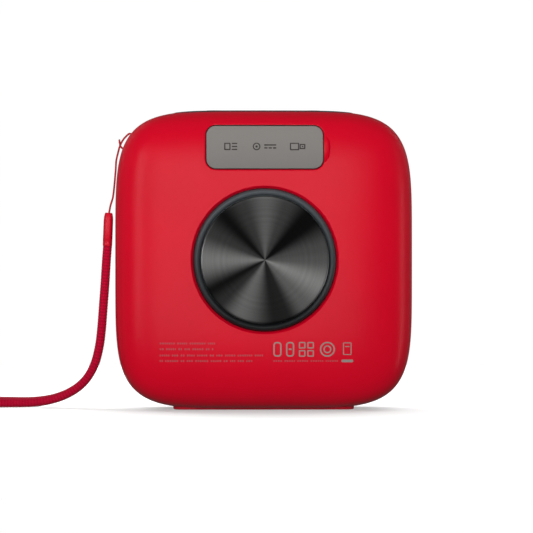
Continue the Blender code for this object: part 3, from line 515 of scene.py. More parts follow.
def cloth(name, colour, pitch, roughness=0.9):
    """A plain weave from two crossed waves."""
    made = Finish(name, colour, roughness, Sheen_Weight=0.15)
    parts = made.node("ShaderNodeSeparateXYZ")
    made.link(made.place, parts.inputs[0])
    turns = 2 * math.pi / (pitch * MM)
    warp = made.math("SINE", made.math("MULTIPLY", parts.outputs["X"], turns))
    weft = made.math("SINE", made.math("MULTIPLY", parts.outputs["Z"], turns))
    weave = made.math("MULTIPLY_ADD", made.math("MULTIPLY", warp, weft), 0.5, 0.5)
    made.vary_colour(weave, tuple(c * 0.6 for c in colour), tuple(min(1, c * 1.3) for c in colour))
    made.add_bump(weave, 0.00008)
    return made


spun_finish = spun("spun_gunmetal")
board_finish = Finish("board_green", linear(18, 92, 48), 0.4)
tracks = board_finish.node("ShaderNodeTexBrick", Scale=260.0)
board_finish.link(board_finish.place, tracks.inputs["Vector"])
board_finish.vary_colour(tracks.outputs["Fac"], linear(18, 92, 48), linear(36, 128, 66))
board_finish.add_bump(tracks.outputs["Fac"], 0.00002)
winding_finish = Finish("copper_winding", linear(190, 108, 60), 0.34, 1.0)
turns = winding_finish.node("ShaderNodeTexWave", Scale=2400.0, bands_direction="Y")
winding_finish.link(winding_finish.place, turns.inputs["Vector"])
winding_finish.vary_colour(turns.outputs["Fac"], linear(150, 74, 36), linear(206, 126, 74))
winding_finish.add_bump(turns.outputs["Fac"], 0.00005)

CAD_FINISHES = {
    "black_plastic": moulded("inner_black_plastic", linear(26, 26, 28), 0.48),
    "black_rubber": moulded("black_rubber", linear(30, 31, 33), 0.5, grain=3000),
    "steel": metal("zinc_steel", linear(178, 180, 184), 0.34),
    "tinplate": metal("tinplate", linear(168, 168, 168), 0.34, scratch=1500),
    "ferrite": moulded("ferrite", linear(52, 52, 54), 0.7, depth=0.00004, grain=1400),
    "cone_paper": moulded("cone_paper", linear(38, 38, 38), 0.8, depth=0.00006, grain=900),
    "cell_wrap": moulded("cell_wrap_blue", linear(48, 92, 160), 0.32, grain=900, depth=0.00001),
    "spider_cloth": cloth("spider_cloth", linear(190, 160, 96), 0.7),
    "dark_cloth": cloth("dust_cloth_black", linear(26, 26, 27), 0.5),
    "lead_red": moulded("lead_red", linear(180, 22, 22), 0.45),
    "lead_black": moulded("lead_black", linear(26, 26, 26), 0.45),
    "winding": winding_finish, "circuit_board": board_finish, "shell": shell_finish, "grille": grille_finish,
    "control_rubber": pad_finish, "cover_rubber": cover_finish, "spun_metal": spun_finish,
    "cord": cord_finish, "sleeve": sleeve_finish, "foot_rubber": foot_finish,
}
for subpart in frame["record"]["subparts"]:
    materials = frame["nodes"][subpart["node"]].data.materials
    materials.clear()
    materials.append(CAD_FINISHES[subpart["material_slot"]].made)


def place_piece(made, body, slot, *nodes):
    """Puts a piece on its body, in place of the CAD nodes it stands for. slot is not used."""
    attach(made, body)
    if nodes:
        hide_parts(*nodes)


# -------- camera

AIM = Vector((-1.2, 0.0, 52.85)) * MM
CAMERA_DISTANCE, FRAME_WIDTH, SENSOR = 1300.0, 198.5, 36.0
AZIMUTH, ELEVATION = 178.5, 0.4


def bearing(azimuth, elevation):
    """The unit vector towards a viewer at these degrees. Azimuth 0 is the grille's side."""
    a, e = math.radians(azimuth), math.radians(elevation)
    return Vector((math.sin(a) * math.cos(e), -math.cos(a) * math.cos(e), math.sin(e)))


back = bearing(AZIMUTH, ELEVATION)
camera = bpy.data.objects.new("camera", bpy.data.cameras.new("camera"))
scene.collection.objects.link(camera)
camera.data.sensor_width = SENSOR
camera.data.lens = SENSOR * CAMERA_DISTANCE / FRAME_WIDTH
camera.data.clip_start, camera.data.clip_end = 0.05, 20.0
camera.location = AIM + back * CAMERA_DISTANCE * MM
camera.rotation_mode = "QUATERNION"
camera.rotation_quaternion = (-back).to_track_quat("-Z", "Y")
scene.camera = camera

# -------- wrist strap

# One strand of the doubled thread, from the sleeve up round the case's edge and through its two holes.
THREAD_ROUTE = [(x, -0.45, z) for x, z in (
    (57.42, 72.7), (57.3, 73.2), (56.8, 75.7), (55.95, 78.6), (55.45, 82.6), (55.15, 85.9), (54.9, 88.9),
    (54.7, 92.2), (54.1, 94.9), (53.3, 97.8), (52.15, 99.95), (50.95, 101.35), (49.8, 102.25), (48.85, 101.9),
    (48.05, 101.3), (47.2, 100.7), (46.6, 99.3), (46.7, 97.5), (47.6, 96.0), (48.8, 95.5), (49.95, 95.86),
    (51.0, 96.26),
)] + [
    (52.0, -0.55, 96.65), (52.8, -0.95, 97.15), (53.3, -1.25, 98.2), (53.5, -0.9, 99.4), (53.55, 0.0, 99.85),
]
# The hanging cord: (x, z) of its middle, that line's y, and each strand's distance from it. Then the bend on
# the floor that joins the two strands.
LOOP_DROP = [
    (57.96, 60.9), (57.99, 60.1), (58.4, 54.6), (58.9, 46.5), (59.5, 38.5), (60.2, 29.5), (61.1, 22.8),
    (62.9, 16.2), (66.2, 10.6), (71.0, 6.5), (77.5, 3.6), (85.5, 2.1),
]
LOOP_DRIFT = [0, 0, 0, 0, 0, -0.3, -0.8, -1.6, -3.0, -5.0, -7.6, -10.8]
LOOP_SPREAD = [1.8, 1.8, 1.8, 1.8, 1.8, 1.85, 1.9, 2.0, 2.3, 2.9, 4.0, 5.8]
LOOP_END = [
    (96.5, -7.8, 1.75), (108.0, -9.6, 1.7), (119.0, -12.0, 1.7), (128.5, -17.5, 1.7), (132.0, -27.0, 1.7),
    (126.5, -36.0, 1.7), (115.5, -36.8, 1.7), (105.0, -30.0, 1.7), (95.5, -23.4, 1.75),
]
CORD_RADIUS, CORD_STEP, CORD_SIDES = 1.65, 0.26, 50
STRANDS, STRAND_PITCH, BRAID_DEPTH = 10, 1.15, 0.075
THREAD_RADIUS, THREAD_STEP, THREAD_SIDES, THREAD_TWIST = 0.37, 0.25, 12, 0.9


def braid_height(along, angles):
    """Over-and-under braid of two families of strands, 0 in the grooves and 1 on the crests."""
    u = STRANDS * angles / (2 * math.pi) + along / STRAND_PITCH
    v = STRANDS * angles / (2 * math.pi) - along / STRAND_PITCH
    first = (1 - (2 * (u % 1) - 1) ** 2) * (0.5 + 0.5 * np.cos(math.pi * (v + np.floor(u))))
    second = (1 - (2 * (v % 1) - 1) ** 2) * (0.5 - 0.5 * np.cos(math.pi * (u + np.floor(v))))
    return np.maximum(first, second)


def cord_radius(along, angles):
    return CORD_RADIUS - BRAID_DEPTH * (1 - braid_height(along, angles))


def thread_radius(along, angles):
    return THREAD_RADIUS * (0.93 + 0.07 * np.cos(2 * angles + along * 2 * math.pi / THREAD_TWIST))


thread_path, thread_length = smooth_path(
    THREAD_ROUTE + [(x, -y, z) for x, y, z in THREAD_ROUTE[-2::-1]], THREAD_STEP
)
thread = tube("wrist_thread", thread_path, thread_radius, thread_finish.made, THREAD_SIDES)
up = [(x, d + s, z) for (x, z), d, s in zip(LOOP_DROP, LOOP_DRIFT, LOOP_SPREAD)]
down = [(x, d - s, z) for (x, z), d, s in zip(LOOP_DROP, LOOP_DRIFT, LOOP_SPREAD)]
loop_path, loop_length = smooth_path(up + LOOP_END + down[::-1], CORD_STEP)
loop = tube("wrist_cord", loop_path, cord_radius, cord_finish.made, CORD_SIDES)
heights = np.concatenate([
    braid_height(along, full_turn(CORD_SIDES)) for along in np.linspace(0, loop_length, len(loop_path))
])
attribute = loop.data.attributes.new("braid", "FLOAT", "POINT")
attribute.data.foreach_set("value", heights.astype(np.float32))

SLEEVE_X, SLEEVE_Z, SLEEVE_TILT, SLEEVE_POWER = 57.75, 66.65, math.radians(-2.3), 3.2


def sleeve_ring(half_x, half_y, height):
    """A rounded section of the sleeve, at a height along its tilted middle line."""
    turn = full_turn(64)
    c, s = np.cos(turn), np.sin(turn)
    reach = (np.abs(c) ** SLEEVE_POWER + np.abs(s) ** SLEEVE_POWER) ** (-1 / SLEEVE_POWER)
    x, y = half_x * reach * c, half_y * reach * s
    turned_x = SLEEVE_X + x * math.cos(SLEEVE_TILT) + height * math.sin(SLEEVE_TILT)
    turned_z = SLEEVE_Z - x * math.sin(SLEEVE_TILT) + height * math.cos(SLEEVE_TILT)
    return np.stack([turned_x, y, turned_z], axis=1)


SLEEVE_SECTIONS = [
    (1.55, 3.6, -6.2), (1.68, 3.73, -6.1), (1.74, 3.79, -5.85), (1.75, 3.8, -5.0), (1.75, 3.8, -4.75),
    (1.70, 3.75, -4.68), (1.70, 3.75, -4.52), (1.75, 3.8, -4.45), (1.75, 3.8, 0.0), (1.75, 3.8, 3.2),
    (1.73, 3.77, 4.0), (1.64, 3.62, 4.8), (1.50, 3.34, 5.5), (1.38, 3.1, 5.95), (1.28, 2.95, 6.14),
    (1.1, 2.75, 6.2),
]
sleeve = lofted(
    "wrist_sleeve", [sleeve_ring(*section) for section in SLEEVE_SECTIONS], sleeve_finish.made, smooth=50.0
)

place_piece(thread, "root", "cord", "strap_thread")
place_piece(loop, "root", "cord", "wrist_loop")
place_piece(sleeve, "root", "sleeve", "strap_sleeve")
Vector(up[0]) * MM

# -------- the case

BORE, DISH = 26.25, 27.1
COVER_HALF_X, COVER_HALF_Z, COVER_CORNER, COVER_Z = 21.4, 7.9, 3.5, 96.7
PAD_HALF_X, PAD_HALF_Y, PAD_CORNER = 33.4, 11.0, 8.0
FOOT_HALF_X, FOOT_HALF_Y, FOOT_CORNER = 33.5, 10.0, 4.0
CASE_BOTTOM = 0.85
BUTTONS = {"button_minus": 18.0, "button_power": 0.0, "button_plus": -18.0}
STRAP_HOLES = ((48.95, 102.3), (52.0, 96.65))
# The seam: a tongue on the rear moulding inside a rebate in the front one, (inset, depth) from the skin.
TONGUE = ((0.90, -11.85), (0.90, -12.85), (2.25, -12.85))
REBATE = ((2.25, -13.05), (0.72, -13.05), (0.72, -12.15))
angles = full_turn(384)


def case_ring(tilt, grow=0.0, front=False):
    """One ring of the skin at a tilt from the middle axis, given per angle."""
    share, level = profile_point(tilt, (FRONT if front else REAR) + grow)
    reach = silhouette(angles, grow) * share
    return np.stack([
        reach * np.cos(angles), -level if front else level, MIDDLE_Z + reach * np.sin(angles)
    ], axis=1)


def tilt_at_radius(radius, grow=0.0):
    """Tilt where the rear half's section is at this radius, per angle."""
    share = radius / silhouette(angles, grow)
    return np.arctan2(share, (1 - share**DEPTH) ** (1 / DEPTH))


def tilt_at_depth(depth, front_depth):
    """Tilt where the front half's section is at this depth."""
    level = depth / front_depth
    return np.full(len(angles), math.atan2((1 - level**DEPTH) ** (1 / DEPTH), level))


def rear_rings(inner_radius, last_depth, grow, rear_count, front_count):
    """Rings of the skin from a circle on the back, round the edge, to a depth on the front half."""
    start, half = tilt_at_radius(inner_radius, grow), math.pi / 2
    rings = [case_ring(start + (half - start) * i / rear_count, grow) for i in range(rear_count + 1)]
    end = tilt_at_depth(last_depth, FRONT + grow)
    rings += [case_ring(half + (end - half) * i / front_count, grow, True) for i in range(1, front_count + 1)]
    return rings


def circle_ring(radius, depth):
    return np.stack([
        radius * np.cos(angles), np.full(len(angles), depth), MIDDLE_Z + radius * np.sin(angles)
    ], axis=1)


def flat_rim(ring, depth, inward):
    """A ring moved inwards across the case's axis and set at a depth."""
    middle = np.array([0, 0, MIDDLE_Z])
    away = (ring - middle) * [1, 0, 1]
    away /= np.linalg.norm(away, axis=1, keepdims=True)
    moved = ring - away * inward
    moved[:, 1] = depth
    return moved


def foot_ring(grow, z):
    return at_height(round_rect(FOOT_HALF_X, FOOT_HALF_Y, FOOT_CORNER, grow), z)


def floor_cutter():
    """The block that flattens the underside of the case."""
    square = 90.0 * np.array([(-1, -1), (1, -1), (1, 1), (-1, 1)])
    return lofted("floor_cutter", [at_height(square, z) for z in (-20.0, CASE_BOTTOM)], shell_inside.made)


def opening(name, half_a, half_b, corner, gap, middle, surface, depth):
    """A cutter for a rounded opening in the skin with a softened edge, a gap larger than what sits in it."""
    fillet = [(0.55, -3.0), (0.55, -0.02), (0.42, 0.02), (0.22, 0.12), (0.10, 0.22), (0.05, 0.40)]
    return lofted(name, [
        surface(round_rect(half_a, half_b, corner, gap - 0.05 + extra) + middle, sink)
        for extra, sink in fillet + [(0.05, depth)]
    ], shell_inside.made)


def strap_hole_cutter(number, x, z):
    """A small hole square to the outline, flared where it meets the skin."""
    rise, across = (z - MIDDLE_Z) / HALF_Z, x / HALF_X
    normal = np.array([across ** (OUTLINE - 1) / HALF_X, 0, rise ** (OUTLINE - 1) / HALF_Z])
    normal /= np.linalg.norm(normal)
    side = np.array([-normal[2], 0, normal[0]])
    around = full_turn(48)
    offset = np.cos(around)[:, None] * side + np.sin(around)[:, None] * np.array([0, 1.0, 0])
    mouth = np.array([x, 0, z])
    share = (across**OUTLINE + rise**OUTLINE) ** (-1 / OUTLINE)
    skin_point = np.array([x * share, 0, MIDDLE_Z + (z - MIDDLE_Z) * share])
    reach = (skin_point - mouth) @ normal
    sections = [(1.2, -3.6), (1.2, reach - 0.35), (1.25, reach - 0.2), (1.38, reach - 0.07),
                (1.55, reach + 0.02), (1.6, 2.5)]
    return lofted(
        f"strap_hole_{number}", [mouth + normal * height + offset * radius for radius, height in sections],
        shell_inside.made,
    )


def scoop_cutter():
    """A fingernail scoop beside the free end of the port cover."""
    radii = (2.3, 2.1, 5.6)
    level = float(back_y(np.array([COVER_HALF_X]), np.array([COVER_Z]))[0]) + 0.2
    centre = np.array([-COVER_HALF_X - 0.4, level, COVER_Z])
    around = full_turn(64)
    return lofted("scoop", [
        centre + np.stack([
            radii[0] * math.sin(t) * np.cos(around), radii[1] * math.sin(t) * np.sin(around),
            np.full(64, radii[2] * math.cos(t)),
        ], axis=1)
        for t in (math.pi * i / 32 for i in range(1, 32))
    ], shell_inside.made)


def make_case_rear():
    outside = rear_rings(DISH + 0.16, 11.70, 0.0, 84, 22)
    inside = rear_rings(BORE, 11.85, -WALL, 30, 8)[::-1]
    rim = [flat_rim(outside[-1], -11.80, 0.04), flat_rim(outside[-1], -11.85, 0.14)]
    rim += [flat_rim(outside[-1], depth, inset) for inset, depth in TONGUE]
    edge_y = float(back_y(np.array([DISH]), np.array([MIDDLE_Z]))[0])
    dish = [(BORE, 21.4), (BORE, 22.1), (BORE + 0.06, 22.22), (BORE + 0.4, 22.68),
            (DISH - 0.14, edge_y - 0.24), (DISH - 0.04, edge_y - 0.10), (DISH + 0.06, edge_y - 0.025)]
    rings = outside + rim + inside + [circle_ring(r, y) for r, y in dish]
    marks = [0] * (len(outside) - 1) + [1] * (len(rings) - len(outside) + 1)
    made = lofted("case_rear", rings, [shell_finish.made, shell_inside.made], closed=True, marks=marks)

    cutters = [
        opening("cover_hole", COVER_HALF_X, COVER_HALF_Z, COVER_CORNER, 0.3, (0.0, COVER_Z), on_back, 9.0),
        scoop_cutter(),
        opening("pad_hole", PAD_HALF_X, PAD_HALF_Y, PAD_CORNER, 0.25, (0.0, 0.0), on_top, 1.55),
        floor_cutter(),
        lofted("foot_hole", [foot_ring(0.3, z) for z in (-1.0, 1.0, 1.3, 2.0)], shell_inside.made),
    ]
    cutters += [
        turned(f"stem_{x:g}", [(0, 100.0), (2.9, 100.0), (2.9, 112.0), (0, 112.0)], shell_inside.made,
               steps=48, centre=(x, 0.0), upright=True)
        for x in BUTTONS.values()
    ]
    cutters += [strap_hole_cutter(number, x, z) for number, (x, z) in enumerate(STRAP_HOLES)]
    cut(made, *cutters)
    skin_shading(made, [shell_finish.made])
    return made


def make_case_front():
    start, end = tilt_at_depth(12.30, FRONT), tilt_at_depth(20.45, FRONT)
    outside = [case_ring(start + (end - start) * i / 26, 0.0, True) for i in range(27)]
    start_in, end_in = tilt_at_depth(13.3, FRONT - WALL), tilt_at_depth(20.0, FRONT - WALL)
    inside = [case_ring(end_in + (start_in - end_in) * i / 8, -WALL, True) for i in range(9)]
    front_lip = [flat_rim(outside[-1], -20.55, 0.05), flat_rim(outside[-1], -20.6, 0.18)]
    inner_lip = [flat_rim(outside[-1], -20.6, 3.2)]
    rear_lip = [flat_rim(outside[0], depth, inset) for inset, depth in REBATE]
    rear_lip += [flat_rim(outside[0], -12.15, 0.14), flat_rim(outside[0], -12.2, 0.04)]
    rings = outside + front_lip + inner_lip + inside + rear_lip
    marks = [0] * (len(outside) - 1) + [1] * (len(rings) - len(outside) + 1)
    made = lofted("case_front", rings, [shell_finish.made, shell_inside.made], closed=True, marks=marks)
    cut(made, floor_cutter())
    skin_shading(made, [shell_finish.made])
    return made


place_piece(make_case_rear(), "root", "shell", "rear_shell")
place_piece(make_case_front(), "root", "shell", "front_shell")

# -------- plain shapes: outline and inner one or None

def bar_shape(a, b, half_a, half_b, rounding=0.9, steps=(3, 2, 2)):
    return round_rect(half_a, half_b, min(half_a, half_b) * rounding, 0.0, *steps) + (a, b), None


def frame_shape(a, b, half_a, half_b, corner, line, least=0.05, arc_steps=6):
    return (
        round_rect(half_a, half_b, corner, 0.0, arc_steps, 4, 4) + (a, b),
        round_rect(half_a - line, half_b - line, max(corner - line, least), 0.0, arc_steps, 4, 4) + (a, b),
    )


def ring_shape(a, b, radius, line, count=64):
    around = full_turn(count)
    turn = np.stack([np.cos(around), np.sin(around)], axis=1)
    return turn * radius + (a, b), turn * (radius - line) + (a, b)


def shape_solids(name, shapes, place, low, high, finish):
    """One mesh of closed solids from plain shapes. place turns an outline and a level into points."""
    points, faces = [], []
    for outer, inner in shapes:
        first, count = len(points), len(outer)
        edges = [(outer, low), (outer, high)] + ([(inner, high), (inner, low)] if inner is not None else [])
        for edge, level in edges:
            points.extend(place(edge, level).tolist())
        for a in range(len(edges) if inner is not None else 1):
            b = (a + 1) % len(edges)
            for i in range(count):
                j = (i + 1) % count
                side = (a * count + i, a * count + j, b * count + j, b * count + i)
                faces.append([first + k for k in side])
        if inner is None:
            faces.append([first + i for i in range(count)][::-1])
            faces.append([first + count + i for i in range(count)])
    return face_out(piece(name, points, faces, finish))


# -------- port cover

def cover_symbols():
    """A cutter for three plain line drawings: a card, a power lead's mark and a plug."""
    middle, line = COVER_Z + 0.25, 0.42
    card_x, lead_x, plug_x = 12.4, -2.0, -12.2
    level = float(back_y(np.array([12.6]), np.array([middle]))[0])
    low, high = level - 0.30, level + 1.2

    def box(x, half_a, half_b, corner):
        return frame_shape(x, middle, half_a, half_b, corner, line, 0.1, 4)

    def bar(x, rise, half_a, half_b):
        return bar_shape(x, middle + rise, half_a, half_b, 0.6, (3, 3, 3))

    shapes = [box(card_x + 1.3, 1.15, 1.35, 0.3)]
    shapes += [bar(card_x - 1.3, rise, 1.0, 0.22) for rise in (1.1, 0, -1.1)]
    shapes += [ring_shape(3.0, middle, 1.4, line, 40), bar(3.0, 0, 0.4, 0.4), bar(lead_x, 0.55, 2.2, 0.24)]
    shapes += [bar(lead_x + shift, -0.55, 0.6, 0.24) for shift in (-1.6, 0.0, 1.6)]
    shapes += [box(plug_x + 1.3, 1.7, 1.4, 0.35), box(plug_x - 1.6, 1.05, 0.95, 0.15)]
    shapes += [bar(plug_x - 1.6, 0, 0.3, 0.25)]
    return shape_solids(
        "cover_symbols", shapes, lambda edge, y: np.insert(edge, 1, y, axis=1), low, high, cover_mark.made
    )


def edge_fillet(ring, radius, sink):
    """Rings that round an edge off, from a flat top at this sink. ring takes how far it grows and sinks."""
    return [ring(-radius * (1 - math.sin(t)), sink + radius * (1 - math.cos(t)))
            for t in (math.pi / 2 * i / 6 for i in range(1, 7))]


def rubber_piece(name, finish, top, rest):
    """A lofted piece with its top rings on the skin. Its second material only marks the other faces."""
    marks = [0] * (len(top) - 1) + [1] * len(rest)
    return lofted(name, top + rest, [finish.made, finish.made.copy()], smooth=40.0, marks=marks)


def make_cover():
    def ring(grow, sink):
        return on_back(round_rect(COVER_HALF_X, COVER_HALF_Z, COVER_CORNER, grow), sink, (0.0, COVER_Z))

    top = [ring(-inset, 0.0) for inset in (7.84, 7.0, 6.0, 5.0, 4.0, 3.2, 2.4, 1.7, 1.1, 0.65, 0.34)]
    underside = [(0.0, 1.25), (-0.15, 1.4), (-1.2, 1.4), (-1.2, 2.45), (-1.35, 2.6), (-2.05, 2.6),
                 (-2.2, 2.45), (-2.2, 1.4), (-4.0, 1.4), (-6.0, 1.4), (-7.84, 1.4)]
    rest = edge_fillet(ring, 0.34, 0.0) + [ring(grow, sink) for grow, sink in underside]
    made = rubber_piece("cover_flap", cover_finish, top, rest)
    cut(made, cover_symbols())
    skin_shading(made, [cover_finish.made, cover_finish.made, cover_mark.made], smooth=40.0)
    return made


place_piece(make_cover(), "port_cover", "cover_rubber", "port_cover")

# -------- control pad and buttons

def make_pad():
    def ring(grow, sink):
        return on_top(round_rect(PAD_HALF_X, PAD_HALF_Y, PAD_CORNER, grow), sink)

    top = [ring(-inset, -0.15) for inset in (10.9, 10.0, 9.0, 8.0, 6.8, 5.6, 4.4, 3.4, 2.4, 1.6, 0.9, 0.4)]
    underside = [(0.0, 1.1), (-0.1, 1.2), (-5.0, 1.2), (-10.9, 1.2)]
    rest = edge_fillet(ring, 0.4, -0.15) + [ring(grow, sink) for grow, sink in underside]
    made = rubber_piece("pad_strip", pad_finish, top, rest)
    key_hole = [(0, 105.0), (4.5, 105.0), (4.5, 110.48), (4.56, 110.62), (4.7, 110.72), (5.0, 110.78),
                (5.0, 113.0), (0, 113.0)]
    cut(made, *(
        turned(f"pad_hole_{x:g}", key_hole, pad_finish.made, steps=96, centre=(x, 0.0), upright=True)
        for x in BUTTONS.values()
    ))
    skin_shading(made, [pad_finish.made], smooth=40.0)
    return made


place_piece(make_pad(), "root", "control_rubber", "control_pad")


def key_cutter(outline):
    """Cuts a symbol 0.18 mm into a key's top."""
    return lofted("key_symbol", [at_height(outline, z) for z in (TOP + 0.12, TOP + 2)], pad_mark.made)


def bar_outline(x, y, half_a, half_b):
    return round_rect(half_a, half_b, min(half_a, half_b), 0.0, 5, 4, 4) + (x, y)


def power_outline(x):
    """The open ring of a power symbol."""
    around = np.radians(np.linspace(125, 415, 41))
    sides = ((1.45, around), (1.1, around[::-1]))
    return np.array([
        (radius * math.cos(a), radius * math.sin(a)) for radius, turns in sides for a in turns
    ]) + (x, 0.0)


def plus_outline(x, arm=1.5, half=0.19):
    return np.array([
        (half, half), (arm, half), (arm, -half), (half, -half), (half, -arm), (-half, -arm), (-half, -half),
        (-arm, -half), (-arm, half), (-half, half), (-half, arm), (half, arm),
    ]) + (x, 0.0)


KEY_SYMBOLS = {
    "button_minus": lambda x: [bar_outline(x, 0.0, 1.5, 0.19)],
    "button_power": lambda x: [power_outline(x), bar_outline(x, 1.15, 0.18, 0.75)],
    "button_plus": lambda x: [plus_outline(x)],
}


def make_button(body, x):
    top = TOP + 0.3
    profile = [(0, top)] + [(r, top - 0.05 * (r / 3.3) ** 2) for r in (0.8, 1.6, 2.4, 3.0, 3.3)]
    profile += [(3.55, top - 0.075), (3.8, top - 0.125), (4.0, top - 0.2), (4.13, top - 0.31),
                (4.19, top - 0.45), (4.2, top - 0.6), (4.2, TOP - 0.8), (2.5, TOP - 0.8), (2.5, 106.9),
                (0, 106.9)]
    made = turned(body + "_cap", profile, pad_finish.made, steps=96, centre=(x, 0.0), upright=True)
    cut(made, *(key_cutter(outline) for outline in KEY_SYMBOLS[body](x)))
    made.data.shade_smooth()
    made.data.set_sharp_from_angle(angle=math.radians(40))
    return made


for body, x in BUTTONS.items():
    place_piece(make_button(body, x), body, "control_rubber", body)

# -------- radiator

ROLL_MIDDLE = (24.85, 23.5)
surround = turned("radiator_roll", [
    (21.5, 23.1), (23.62, 23.1), (23.72, 23.2), *arc(ROLL_MIDDLE, 1.1, 176, 6, 22), (25.95, 23.4),
    (25.95, 20.5), (26.05, 20.4), (28.8, 20.4), (28.9, 20.3), (28.9, 19.8), (25.4, 19.8),
    *arc(ROLL_MIDDLE, 0.55, 0, 180, 12), (24.3, 22.6), (21.5, 22.6),
], roll_finish.made)
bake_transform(surround)
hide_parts("radiator_surround")

# The disc is dished by 0.3 mm towards its middle.
CAP_RADIUS, CAP_STEPS = 22.7, 28
cap_profile = [(0, 24.70)] + [
    (CAP_RADIUS * i / CAP_STEPS, 24.70 + 0.30 * (i / CAP_STEPS) ** 1.2) for i in range(1, CAP_STEPS + 1)
]
cap_profile += [(22.95, 24.995), (23.15, 24.94), (23.32, 24.83), (23.42, 24.68), (23.45, 24.5), (23.45, 23.5),
                (23.35, 23.4), (0, 23.4)]
cap = turned("radiator_disc", cap_profile, spun_finish.made, steps=256)
place_piece(cap, "radiator_moving", "spun_metal", "radiator_cap")

# -------- foot

def make_foot():
    """A flat pad with four shallow grooves running round it."""
    rings = [foot_ring(-0.2, 1.7), foot_ring(0.0, 1.5), foot_ring(0.0, 0.5), foot_ring(-0.1, 0.2),
             foot_ring(-0.3, 0.04), foot_ring(-0.55, 0.0)]
    for edge in (1.6, 3.4, 5.2, 7.0):
        rings += [foot_ring(-edge, 0.0), foot_ring(-edge - 0.15, 0.22), foot_ring(-edge - 0.6, 0.22),
                  foot_ring(-edge - 0.75, 0.0)]
    rings.append(foot_ring(-9.8, 0.0))
    return lofted("foot_pad", rings, foot_finish.made, smooth=40.0)


place_piece(make_foot(), "root", "foot_rubber", "rubber_foot")

# -------- front grille

# Radius and pitch of the holes, a row's height as a share of the pitch, the sheet's thickness, and the share
# of the outline that the holes may reach.
HOLE, PITCH, ROW_SHARE, SHEET, HOLES_REACH = 0.8, 2.45, 0.8660254, 1.0, 0.945
# Rows and columns on each side of the middle, more than enough to cover the front.
ROWS, COLUMNS = 28, 30


def make_grille():
    """A perforated sheet: round holes on a triangular pitch inside a plain border, bent over the front."""
    edge_share = profile_point(tilt_at_depth(20.95, FRONT)[0], FRONT)[0]
    outline = silhouette(angles) * edge_share
    points, edges = [], []

    def loop_of(ring):
        """Adds a closed line that the sheet's faces have to follow."""
        first = len(points)
        points.extend((float(a), float(b)) for a, b in ring)
        edges.extend((first + i, first + (i + 1) % len(ring)) for i in range(len(ring)))

    loop_of(np.stack([outline * np.cos(angles), outline * np.sin(angles)], axis=1))
    for share, step in ((0.992, 1), (0.98, 2), (0.966, 2)):
        ring = outline * share
        points.extend(
            (float(r * math.cos(a)), float(r * math.sin(a))) for r, a in zip(ring[::step], angles[::step])
        )
    turn = full_turn(12)
    for row in range(-ROWS, ROWS + 1):
        for column in range(-COLUMNS, COLUMNS + 1):
            x = (column + 0.5 * (row % 2)) * PITCH
            z = row * PITCH * ROW_SHARE
            limit = float(silhouette(np.array([math.atan2(z, x)]))[0])
            if math.hypot(x, z) < limit * edge_share * HOLES_REACH - HOLE:
                loop_of(np.stack([x + HOLE * np.cos(turn), z + HOLE * np.sin(turn)], axis=1))
                for k in range(6):
                    a = math.pi / 6 + k * math.pi / 3
                    reach = PITCH / 1.732
                    points.append((round(x + reach * math.cos(a), 4), round(z + reach * math.sin(a), 4)))
    place_of, order = {}, []
    for a, b in points:
        key = (round(a, 3), round(b, 3))
        if key not in place_of:
            place_of[key] = len(order)
            order.append(Vector((a, b)))
    where = [place_of[(round(a, 3), round(b, 3))] for a, b in points]
    flat, _, faces, *_ = delaunay_2d_cdt(order, [(where[a], where[b]) for a, b in edges], [], 0, 1e-6)
    flat = np.array([tuple(p) for p in flat])

    # Faces are dropped inside the holes and past the outline.
    centres = np.array([flat[list(face)].mean(axis=0) for face in faces])
    keep = np.hypot(*centres.T) < silhouette(np.arctan2(centres[:, 1], centres[:, 0])) * edge_share
    for shift in (-1, 0, 1):
        row = np.round(centres[:, 1] / (PITCH * ROW_SHARE)) + shift
        odd = 0.5 * (row % 2)
        x = (np.round(centres[:, 0] / PITCH - odd) + odd) * PITCH
        z = row * PITCH * ROW_SHARE
        near = np.hypot(centres[:, 0] - x, centres[:, 1] - z) < HOLE * 0.97
        limit = silhouette(np.arctan2(z, x)) * edge_share * HOLES_REACH - HOLE
        keep &= ~(near & (np.hypot(x, z) < limit))
    faces = [tuple(face) for face, kept in zip(faces, keep) if kept]

    def lifted(grow):
        x, z = flat[:, 0] * ((HALF_X + grow) / HALF_X), flat[:, 1] * ((HALF_Z + grow) / HALF_Z) + MIDDLE_Z
        return np.stack([x, -back_y(x, z, grow, FRONT), z], axis=1)

    count = len(flat)
    sides = dict.fromkeys((a, b) for face in faces for a, b in zip(face, face[1:] + face[:1]))
    all_faces = faces + [tuple(i + count for i in face[::-1]) for face in faces]
    all_faces += [(b, a, a + count, b + count) for a, b in sides if (b, a) not in sides]
    marks = [0] * len(faces) + [1] * (len(all_faces) - len(faces))
    used = sorted({i for face in all_faces for i in face})
    index = {old: new for new, old in enumerate(used)}
    sheet = piece(
        "grille_sheet", np.concatenate([lifted(0.0), lifted(-SHEET)])[used],
        [tuple(index[i] for i in face) for face in all_faces],
        [grille_finish.made, grille_finish.made.copy()], marks=marks,
    )
    face_out(sheet)
    skin_shading(sheet, [grille_finish.made])
    return sheet


place_piece(make_grille(), "root", "grille", "grille")

# -------- printed marks, plain shapes only

rng = np.random.default_rng(7)


def fine_row(x, z, end, half_height):
    """Short strokes in groups of uneven length, as fine print looks from a distance."""
    strokes = []
    while x > end:
        for _ in range(int(rng.integers(2, 8))):
            width = float(rng.uniform(0.4, 0.72))
            if x - width < end - 0.3:
                break
            strokes.append(bar_shape(x - width / 2, z, width / 2, half_height))
            x -= width + 0.25
        x -= 0.62
    return strokes


def printed(name, shapes, finish):
    """Thin print 0.005 mm under to 0.02 mm above the rear skin's faces."""
    place_piece(shape_solids(name, shapes, on_back, 0.005, -0.02, finish.made), "root", "cover_rubber")


